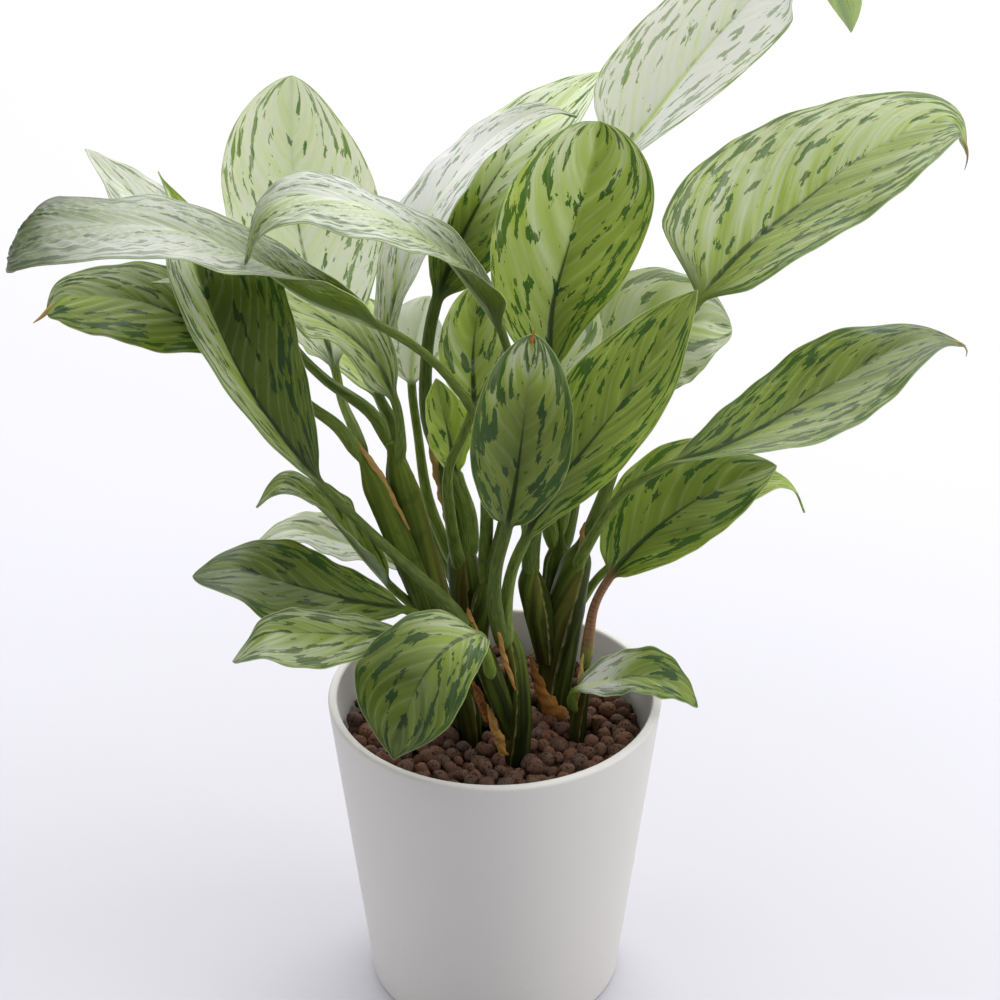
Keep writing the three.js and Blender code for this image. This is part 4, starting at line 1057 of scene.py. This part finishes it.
def shoot_material(look):
    """Dark green clasping sheaths: lengthwise streaks, paler upwards, with pale to tan papery margins."""
    material, graph = new_material("shoot_skin")
    height, phi = graph.mark("limb")[1:]
    markings = graph.markings(graph.stretched(graph.veins(), 1.0, 0.55), 0.62)
    streak, fibre = markings["Streak"], markings["Fibre"]
    # Painted shade at the foot near the pebbles, and painted light on the paler lit streaks, stronger
    # upwards.
    colour = graph.mix(graph.rise(height, 0.15, 1.0), look.foot, look.crown)
    lit = graph.times(graph.rise(markings["Line"], 0.38, 0.7), graph.sum(0.2, (height, 0.6), clamp=True))
    colour = graph.mix(lit, colour, look.streak)
    colour = graph.over(colour, look.foot, markings["Blotch"], 0.25)
    tinge = graph.times(graph.rise(phi, 0.6, 1.0), graph.rise(streak, 0.35, 0.65))
    colour = graph.over(colour, look.tinge, tinge, 0.45)
    scar = graph.times(graph.rise(phi, 0.94, 0.98), graph.rise(fibre, 0.3, 0.6))
    colour = graph.over(colour, look.margin, scar, 0.6)
    graph.surface(
        Base_Color=graph.shade(colour, graph.sum(0.85, (fibre, 0.3))),
        Roughness=graph.between(streak, 0.4, 0.58), IOR=1.4, Specular_IOR_Level=0.1,
        Normal=graph.bump(fibre, 0.35, 0.0005),
    )
    return material


def sheath_material(look):
    """Dry papery sheath: dark brown over orange to straw, by its dryness and along its fibres, matte."""
    material, graph = new_material("dry_sheath")
    veins = graph.veins()
    fibre = graph.noise(graph.stretched(veins, 1.0, 14.0), 1.0, 3.0, 0.65)
    patch = graph.noise(veins, 1.6, 3.0, 0.6)
    dryness = graph.mark("dryness")[0]
    level = graph.sum(-0.3, (dryness, 0.8), (patch, 1.1), clamp=True)
    colour = graph.mix(graph.rise(level, 0.1, 0.6), look.dry_dark, look.dry)
    straw = graph.sum(-0.75, (dryness, 1.0), (fibre, 0.9), clamp=True)
    graph.surface(
        Base_Color=graph.mix(straw, colour, look.dry_pale), Roughness=graph.between(patch, 0.55, 0.75),
        IOR=1.4, Specular_IOR_Level=0.3, Normal=graph.bump(fibre, 0.5, 0.0006),
    )
    return material


# Pot and pebbles


def arc(centre, radius, start, end, steps):
    """Points on a round of a profile, from one angle to another, in degrees."""
    a = np.radians(np.linspace(start, end, steps))
    return np.stack([centre[0] + radius * np.cos(a), centre[1] + radius * np.sin(a)], 1)


def pot_profile(pot):
    """The pot's wall as radius and height, from the middle of its underside out, up, over the lip and in."""
    height, wall, floor, base = pot.height / MM, pot.wall / MM, pot.floor / MM, pot.base_radius / MM
    slope = (pot.top_radius - pot.base_radius) / pot.height
    lean = math.degrees(math.atan(slope))
    lip, foot = pot.lip_round / MM, pot.foot_round / MM

    def outer(z):
        return base + slope * z

    def inner(z):
        return outer(z) - wall

    outside = np.linspace(foot + 4, height - lip - 2, 10)
    inside = np.linspace(height - lip - 2, floor + foot + 2, 8)
    rows = [
        np.array([[AXIS, 0], [base * 0.5, 0], [outer(foot) - foot - 0.3, 0]]),
        arc((outer(foot) - foot, foot), foot, -88, -lean, 8),
        np.stack([outer(outside), outside], 1),
        arc((outer(height - lip) - lip, height - lip), lip, 0, 88, 8),
        arc((inner(height - lip) + lip, height - lip), lip, 92, 180, 8),
        np.stack([inner(inside), inside], 1),
        arc((inner(floor + foot) - foot, floor + foot), foot, 0, -90, 6),
        np.array([[base * 0.5, floor], [AXIS, floor]]),
    ]
    return np.vstack(rows)


def lathe(profile, columns):
    """A body of revolution: the profile's radius and height carried round Z in equal steps."""
    turn = 2 * np.pi * np.arange(columns) / columns
    radius, height = profile[:, :1], profile[:, 1:]
    grid = stacked(radius * np.cos(turn), radius * np.sin(turn), height)
    return close_tube(grid), *tube_faces(len(profile), columns)


def icosphere():
    """A unit sphere of 42 points and 80 triangles: an icosahedron with each edge halved, as arrays."""
    golden = (1 + math.sqrt(5)) / 2
    corners = [
        (-1, golden, 0), (1, golden, 0), (-1, -golden, 0), (1, -golden, 0),
        (0, -1, golden), (0, 1, golden), (0, -1, -golden), (0, 1, -golden),
        (golden, 0, -1), (golden, 0, 1), (-golden, 0, -1), (-golden, 0, 1),
    ]
    faces = [
        (0, 11, 5), (0, 5, 1), (0, 1, 7), (0, 7, 10), (0, 10, 11), (1, 5, 9), (5, 11, 4),
        (11, 10, 2), (10, 7, 6), (7, 1, 8), (3, 9, 4), (3, 4, 2), (3, 2, 6), (3, 6, 8),
        (3, 8, 9), (4, 9, 5), (2, 4, 11), (6, 2, 10), (8, 6, 7), (9, 8, 1),
    ]
    corners, faces = np.array(corners, float), np.array(faces)
    pairs = np.sort(np.concatenate([faces[:, [0, 1]], faces[:, [1, 2]], faces[:, [2, 0]]]), axis=1)
    edges, where = np.unique(pairs, axis=0, return_inverse=True)
    points = np.vstack([corners, (corners[edges[:, 0]] + corners[edges[:, 1]]) / 2])
    points /= np.linalg.norm(points, axis=1, keepdims=True)
    a, b, c = faces.T
    ab, bc, ca = where.reshape(3, -1) + len(corners)
    split = [(a, ab, ca), (b, bc, ab), (c, ca, bc), (ab, bc, ca)]
    return points, np.concatenate([np.stack(part, 1) for part in split])


def turns(draw, count):
    """Random rotations, as matrices made from unit quaternions."""
    q = draw.normal(size=(count, 4))
    w, x, y, z = (q / np.linalg.norm(q, axis=1, keepdims=True)).T
    rows = [
        1 - 2 * (y * y + z * z), 2 * (x * y - z * w), 2 * (x * z + y * w),
        2 * (x * y + z * w), 1 - 2 * (x * x + z * z), 2 * (y * z - x * w),
        2 * (x * z - y * w), 2 * (y * z + x * w), 1 - 2 * (x * x + y * y),
    ]
    return np.stack(rows, 1).reshape(-1, 3, 3)


def pebble_places(bed, bed_radius, draw):
    """Centres and radii of the pebbles: nudged triangular grids, one for each layer, clear of the shoots."""
    pitch = bed.pitch / MM
    rows = int(bed_radius / pitch) + 2
    column, row = np.meshgrid(np.arange(-rows, rows + 1), np.arange(-rows, rows + 1))
    places = []
    for layer in range(bed.layers):
        x = (column + 0.5 * (row % 2) + 0.37 * layer) * pitch
        y = (row * math.sin(math.pi / 3) + 0.41 * layer) * pitch
        nudge = draw.uniform(-0.24, 0.24, (2, *x.shape)) * pitch
        level = bed.level / MM - layer * pitch * PEBBLE_SINK + draw.uniform(-1.6, 1.2, x.shape)
        radius = draw.uniform(bed.radius_least / MM, bed.radius_most / MM, x.shape)
        places.append(np.stack([x + nudge[0], y + nudge[1], level, radius], -1).reshape(-1, 4))
    found = np.vstack(places)
    keep = np.hypot(found[:, 0], found[:, 1]) + found[:, 3] * 0.95 < bed_radius
    for limbs in SHOOTS.values():
        foot = np.array(limbs[0][1])
        keep &= np.hypot(found[:, 0] - foot[0], found[:, 1] - foot[1]) > foot[3] + 0.55 * found[:, 3]
    return found[keep]


def pebble_bodies(found, draw):
    """The pebbles' vertices, triangles and shades: squashed, lumpy and turned spheres, as one array."""
    points, faces = icosphere()
    count = len(found)
    squash = draw.uniform(0.78, 1.12, (count, 1, 3))
    bumps = draw.uniform(0, 2 * np.pi, (count, 1, 3))
    lumpy = 1 + 0.07 * np.sin(2.6 * points[None] @ np.ones((3, 3)) + bumps).sum(-1, keepdims=True) / 1.7
    body = points[None] * squash * lumpy * found[:, None, 3:]
    body = np.einsum("nij,nkj->nki", turns(draw, count), body) + found[:, None, :3]
    shades = np.repeat(draw.uniform(0, 1, (count, 1, 3)), len(points), axis=1)
    triangles = faces[None] + (np.arange(count) * len(points))[:, None, None]
    return body.reshape(-1, 3), triangles.reshape(-1, 3), shades.reshape(-1, 3)


# Settings


def metres(name, text, default):
    """A length property."""
    kind = dict(min=0, subtype="DISTANCE", unit="LENGTH")
    return FloatProperty(name=name, description=text, default=default, **kind)


def tint(name, text, red, green, blue):
    """A colour property, given as a screen colour of 0 to 255 and kept in linear light."""
    parts = (x / 255 for x in (red, green, blue))
    linear = tuple(x / 12.92 if x < 0.04045 else ((x + 0.055) / 1.055) ** 2.4 for x in parts)
    kind = dict(size=3, subtype="COLOR", min=0, max=1)
    return FloatVectorProperty(name=name, description=text, default=linear, **kind)


def ratio(name, text, default):
    """A share from 0 to 1."""
    return FloatProperty(name=name, description=text, default=default, min=0, max=1, subtype="FACTOR")


def watts(name, text, default):
    """A light's power."""
    return FloatProperty(name=name, description=text, default=default, min=0, unit="POWER")


def whole(name, text, default, least=0):
    """A whole number."""
    return IntProperty(name=name, description=text, default=default, min=least)


class PotSettings(bpy.types.PropertyGroup):
    height: metres("Height", "Height of the pot", 0.1785)
    top_radius: metres("Top radius", "Outer radius at the lip", 0.09)
    base_radius: metres("Base radius", "Outer radius at the foot", 0.0687)
    wall: metres("Wall", "Thickness of the wall", 0.005)
    floor: metres("Floor", "Thickness of the floor", 0.006)
    lip_round: metres("Lip round", "Radius of the lip's edges", 0.0016)
    foot_round: metres("Foot round", "Radius of the foot's edge", 0.003)
    columns: whole("Columns", "Steps round the pot", 160, 16)
    colour: tint("Glaze", "Colour of the glaze", 209, 207, 203)
    colour_warm: tint("Warm glaze", "Colour of its warmer clouds", 205, 202, 197)
    speck: tint("Speck", "Colour of the specks", 150, 145, 138)


class PebbleSettings(bpy.types.PropertyGroup):
    level: metres("Level", "Height of the top layer's centres", 0.1555)
    bed_level: metres("Bed level", "Height of the packed bed below", 0.146)
    pitch: metres("Pitch", "Spacing of the pebbles", 0.0089)
    radius_least: metres("Least radius", "Radius of the smallest pebbles", 0.0034)
    radius_most: metres("Greatest radius", "Radius of the largest pebbles", 0.0056)
    gap: metres("Gap", "Clearance to the pot", 0.0005)
    layers: whole("Layers", "Layers of loose pebbles", 3, 1)
    seed: whole("Seed", "Seed of the draw", 531)
    colour: tint("Brown", "Main colour", 92, 68, 54)
    colour_red: tint("Red brown", "Colour of the redder ones", 110, 74, 57)
    colour_grey: tint("Grey", "Colour of the greyer ones", 84, 70, 61)
    dust: tint("Dust", "Colour of the dusty patches", 116, 93, 79)
    pit: tint("Pits", "Colour of the pits", 38, 26, 21)


class ShootSettings(bpy.types.PropertyGroup):
    rows: whole("Rows", "Steps along a limb", 64, 8)
    columns: whole("Columns", "Steps round a limb", 56, 8)
    lap: ratio("Lap", "How far a sheath steps out, as a share of its radius", 0.16)
    closing: metres("Closing", "Stretch over which a sheath draws in", 0.022)
    closed_radius: metres("Closed radius", "Radius at which it closes round the petiole", 0.002)
    # The foot colour is painted shade near the pebbles, and the streak colour is partly painted light on lit
    # faces.
    foot: tint("Foot", "Colour near the pebbles", 27, 34, 13)
    crown: tint("Crown", "Colour at the top", 86, 102, 36)
    streak: tint("Streak", "Colour of the paler streaks", 112, 128, 46)
    tinge: tint("Tinge", "Brown tinge beside the margins", 112, 88, 44)
    margin: tint("Margin", "Colour of the papery margins", 170, 156, 104)


class ScrapSettings(bpy.types.PropertyGroup):
    rows: whole("Rows", "Steps along a dried scrap", 48, 4)
    columns: whole("Columns", "Steps across its faces", 15, 3)
    thickness: metres("Thickness", "Thickness of a dried scrap", 0.0004)
    dry: tint("Dry", "Colour of the dried sheaths", 150, 95, 38)
    dry_dark: tint("Dark dry", "Their darker patches", 84, 50, 32)
    dry_pale: tint("Pale dry", "Their paler fibres", 188, 166, 98)


class LeafSettings(bpy.types.PropertyGroup):
    petiole_rows: whole("Petiole rows", "Steps along a petiole", 18, 4)
    blade_rows: whole("Blade rows", "Steps along a blade", 90, 12)
    columns: whole("Columns", "Steps across each face", 31, 5)
    blade_thickness: metres("Thickness", "Thickness of the blade at the midrib", 0.0009)
    vein_gap: metres("Vein gap", "Spacing of the raised lateral veins", 0.0115)
    petiole_foot: metres("Petiole foot", "Radius of a petiole where it leaves the sheath", 0.0036)
    petiole_neck: metres("Petiole neck", "Radius of a petiole below the blade", 0.0024)
    roughness: ratio("Roughness", "Roughness of the skin", 0.48)
    coat: ratio("Coat", "Gloss over the blades", 0.07)
    deep: tint("Deep", "Ground colour of the deepest leaves", 82, 102, 28)
    fresh: tint("Fresh", "Ground colour between the two", 152, 170, 72)
    pale: tint("Pale", "Ground colour of the palest leaves", 208, 222, 178)
    # The silvery grounds are partly the leaves' own silver and partly painted sheen.
    silver_and_sheen: tint("Silver", "Silvery ground of pale leaves", 224, 224, 221)
    grey_silver_and_sheen: tint("Grey silver", "Silvery ground of deep leaves", 140, 143, 135)
    vein: tint("Vein", "Pale lateral veins", 206, 216, 168)
    blotch: tint("Blotch", "Dark blotches", 34, 58, 18)
    blotch_pale: tint("Pale blotch", "Blotches of the palest leaves", 72, 114, 40)
    # The greyer blotches stand where the ground is silvery, greyed by its painted sheen.
    blotch_grey: tint("Grey blotch", "Greyer blotches", 60, 74, 54)
    blotch_silver: tint("Silver blotch", "Greyer blotches of the palest leaves", 76, 110, 60)
    midrib: tint("Midrib", "Midrib seen from above", 38, 66, 28)
    under: tint("Underside", "Underside of the blade", 86, 110, 32)
    under_pale: tint("Pale underside", "Underside of the palest leaves", 150, 180, 92)
    rim: tint("Rim", "Thin line at the blade's edge", 176, 192, 130)
    flush: tint("Flush", "Pinkish petiole", 118, 84, 58)
    flush_pale: tint("Pale flush", "Paler rings of that petiole", 148, 112, 80)
    stalk: tint("Petiole", "Petioles", 72, 90, 28)
    stalk_pale: tint("Pale petiole", "Their paler lines", 118, 138, 52)


class StageSettings(bpy.types.PropertyGroup):
    floor: tint("Floor", "Colour of the floor", 190, 189, 195)
    back: watts("Back", "Power of the light behind", 84)
    top: watts("Top", "Power of the light above", 125)
    right: watts("Right", "Power of the light at the right", 22)
    left: watts("Left", "Power of the light at the left", 13)
    sky: FloatProperty(name="Sky", description="Strength of the surrounding light", default=0.3, min=0)


# Operators


class EVERGREEN_OT_pot(bpy.types.Operator):
    """Adds the round tapered pot"""

    bl_idname = "evergreen.pot"
    bl_label = "Pot"

    def execute(self, context):
        settings = context.scene.evergreen_pot
        shape = lathe(pot_profile(settings), settings.columns)
        add_piece("planter", *shape, pot_material(settings), "pot", ["pot"])
        return {"FINISHED"}


class EVERGREEN_OT_pebbles(bpy.types.Operator):
    """Adds the bed of clay pebbles"""

    bl_idname = "evergreen.pebbles"
    bl_label = "Clay pebbles"

    def execute(self, context):
        settings = context.scene.evergreen_pebbles
        pot = context.scene.evergreen_pot
        slope = (pot.top_radius - pot.base_radius) / pot.height

        def inner(z):
            return (pot.base_radius - pot.wall - settings.gap) / MM + slope * z

        draw = np.random.default_rng(settings.seed)
        found = pebble_places(settings, inner(settings.level / MM), draw)
        points, triangles, shades = pebble_bodies(found, draw)
        shape = (points, np.empty((0, 4), int), triangles)
        look = (pebble_material(settings), "clay_pebbles")
        add_piece("pebbles", *shape, *look, ["clay_pebbles"], {"pebble": shades})
        floor = (pot.floor + settings.gap) / MM
        level = settings.bed_level / MM
        corner = [[inner(floor) - 4, floor], [inner(floor + 4), floor + 4]]
        profile = np.array([[AXIS, floor], *corner, [inner(level), level], [AXIS, level]])
        shape = lathe(profile, pot.columns)
        add_piece("pebble_bed", *shape, *look, marks={"pebble": np.full((len(shape[0]), 3), 0.2)})
        return {"FINISHED"}


class EVERGREEN_OT_shoots(bpy.types.Operator):
    """Adds the shoots, each of a few limbs of clasping sheaths"""

    bl_idname = "evergreen.shoots"
    bl_label = "Shoots"

    def execute(self, context):
        settings = context.scene.evergreen_shoots
        material = shoot_material(settings)
        for number, (name, limbs) in enumerate(SHOOTS.items()):
            tubes = [limb_surface(points, 100 * number + k, settings) for k, points in enumerate(limbs)]
            add_tubes("sheathed_" + name, tubes, material, "shoot", ["shoot_" + name])
        return {"FINISHED"}


class EVERGREEN_OT_leaves(bpy.types.Operator):
    """Adds the thirty leaves, each a petiole and a blade grown as one"""

    bl_idname = "evergreen.leaves"
    bl_label = "Leaves"

    def execute(self, context):
        settings = context.scene.evergreen_leaves
        material = leaf_material(settings)
        for number, (name, given) in enumerate(LEAVES.items()):
            tube = leaf_surface({**PLAIN_LEAF, **given}, number, settings)
            add_tubes("blade_" + name, [tube], material, "leaf", ["leaf_" + name])
        return {"FINISHED"}


class EVERGREEN_OT_dry(bpy.types.Operator):
    """Adds the dried scraps of sheath on the stems and the dried points of some blades"""

    bl_idname = "evergreen.dry"
    bl_label = "Dried sheaths and tips"

    def execute(self, context):
        settings = context.scene.evergreen_scraps
        material = sheath_material(settings)
        for number, (name, scrap) in enumerate(SCRAPS.items()):
            add_tubes("dry_" + name, [scrap_surface(scrap, 700 + number, settings)], material, "shoot")
        tips = [tip_surface(points, number) for number, points in enumerate(TIPS.values())]
        add_tubes("dry_tips", tips, material, "leaf")
        return {"FINISHED"}


class EVERGREEN_OT_stage(bpy.types.Operator):
    """Adds the pale floor, the soft light and the camera"""

    bl_idname = "evergreen.stage"
    bl_label = "Floor, light and camera"

    def execute(self, context):
        settings = context.scene.evergreen_stage
        add_floor(settings)
        add_area("back", (0.4, 2.2, 1.8), (4.0, 2.0), settings.back, (0, 0, 0.35))
        add_area("top", (0.3, -0.1, 3.1), (4.6, 4.6), settings.top, (0.3, -0.1, 0))
        add_area("right", (2.1, -0.3, 0.9), (1.4, 1.4), settings.right, (0, 0, 0.2))
        add_area("left", (-2.2, 0.2, 0.9), (1.4, 1.4), settings.left, (0, 0, 0.2))
        world = bpy.data.worlds.new("studio")
        world.use_nodes = True
        sky = world.node_tree.nodes["Background"].inputs
        sky["Color"].default_value = (0.97, 0.98, 1.0, 1.0)
        sky["Strength"].default_value = settings.sky
        context.scene.world = world
        context.scene.view_settings.view_transform = "Standard"
        add_camera(context.scene)
        return {"FINISHED"}


def add_floor(settings):
    """A wide level floor under the pot."""
    material, graph = new_material("floor")
    cloud = graph.noise(graph.place(), 1.2)
    tinted = graph.over(settings.floor, (0.8, 0.8, 0.84, 1.0), cloud, 0.06)
    graph.surface(Base_Color=tinted, Roughness=0.9, Specular_IOR_Level=0.1)
    mesh = bpy.data.meshes.new("floor")
    mesh.from_pydata([(-12, -12, 0), (12, -12, 0), (12, 12, 0), (-12, 12, 0)], [], [(0, 1, 2, 3)])
    mesh.materials.append(material)
    floor = bpy.data.objects.new("floor", mesh)
    bpy.context.scene.collection.objects.link(floor)


def add_area(name, place, size, power, aim):
    """A soft light of a width and height at a place, turned to the point that it aims at."""
    light = bpy.data.lights.new(name, "AREA")
    light.shape = "RECTANGLE"
    light.size, light.size_y = size
    light.energy = power
    lamp = bpy.data.objects.new(name, light)
    lamp.location = place
    lamp.rotation_euler = (Vector(aim) - Vector(place)).to_track_quat("-Z", "Y").to_euler()
    bpy.context.scene.collection.objects.link(lamp)


def add_camera(scene):
    """The camera at the picture's angle: it stands back from its target by its distance, raised."""
    camera = bpy.data.cameras.new("camera")
    camera.lens = CAMERA_LENS
    camera.sensor_width = CAMERA_SENSOR
    eye = bpy.data.objects.new("camera", camera)
    back = Vector((0, -math.cos(CAMERA_ELEVATION), math.sin(CAMERA_ELEVATION)))
    eye.location = Vector(CAMERA_TARGET) + back * CAMERA_DISTANCE
    eye.rotation_euler = (math.pi / 2 - CAMERA_ELEVATION, 0, 0)
    scene.collection.objects.link(eye)
    scene.camera = eye


class EVERGREEN_PT_sidebar(bpy.types.Panel):
    """Lists the pieces and the stage"""

    bl_idname = "EVERGREEN_PT_sidebar"
    bl_label = "Potted chinese evergreen"
    bl_space_type = "VIEW_3D"
    bl_region_type = "UI"
    bl_category = "Evergreen"

    def draw(self, context):
        for operator in OPERATORS:
            self.layout.operator(operator.bl_idname)


OPERATORS = (
    EVERGREEN_OT_pot, EVERGREEN_OT_pebbles, EVERGREEN_OT_shoots, EVERGREEN_OT_leaves, EVERGREEN_OT_dry,
    EVERGREEN_OT_stage,
)
SETTINGS = {
    "evergreen_pot": PotSettings,
    "evergreen_pebbles": PebbleSettings,
    "evergreen_shoots": ShootSettings,
    "evergreen_scraps": ScrapSettings,
    "evergreen_leaves": LeafSettings,
    "evergreen_stage": StageSettings,
}


def register():
    """Registers the settings, the operators and the panel."""
    for name, group in SETTINGS.items():
        bpy.utils.register_class(group)
        setattr(bpy.types.Scene, name, PointerProperty(type=group))
    for operator in OPERATORS:
        bpy.utils.register_class(operator)
    bpy.utils.register_class(EVERGREEN_PT_sidebar)


def unregister():
    """Takes them away again."""
    bpy.utils.unregister_class(EVERGREEN_PT_sidebar)
    for operator in reversed(OPERATORS):
        bpy.utils.unregister_class(operator)
    for name, group in reversed(SETTINGS.items()):
        delattr(bpy.types.Scene, name)
        bpy.utils.unregister_class(group)


def main():
    """Builds every piece and the stage."""
    register()
    bpy.ops.evergreen.pot()
    bpy.ops.evergreen.pebbles()
    bpy.ops.evergreen.shoots()
    bpy.ops.evergreen.leaves()
    bpy.ops.evergreen.dry()
    bpy.ops.evergreen.stage()


if __name__ == "__main__":
    main()
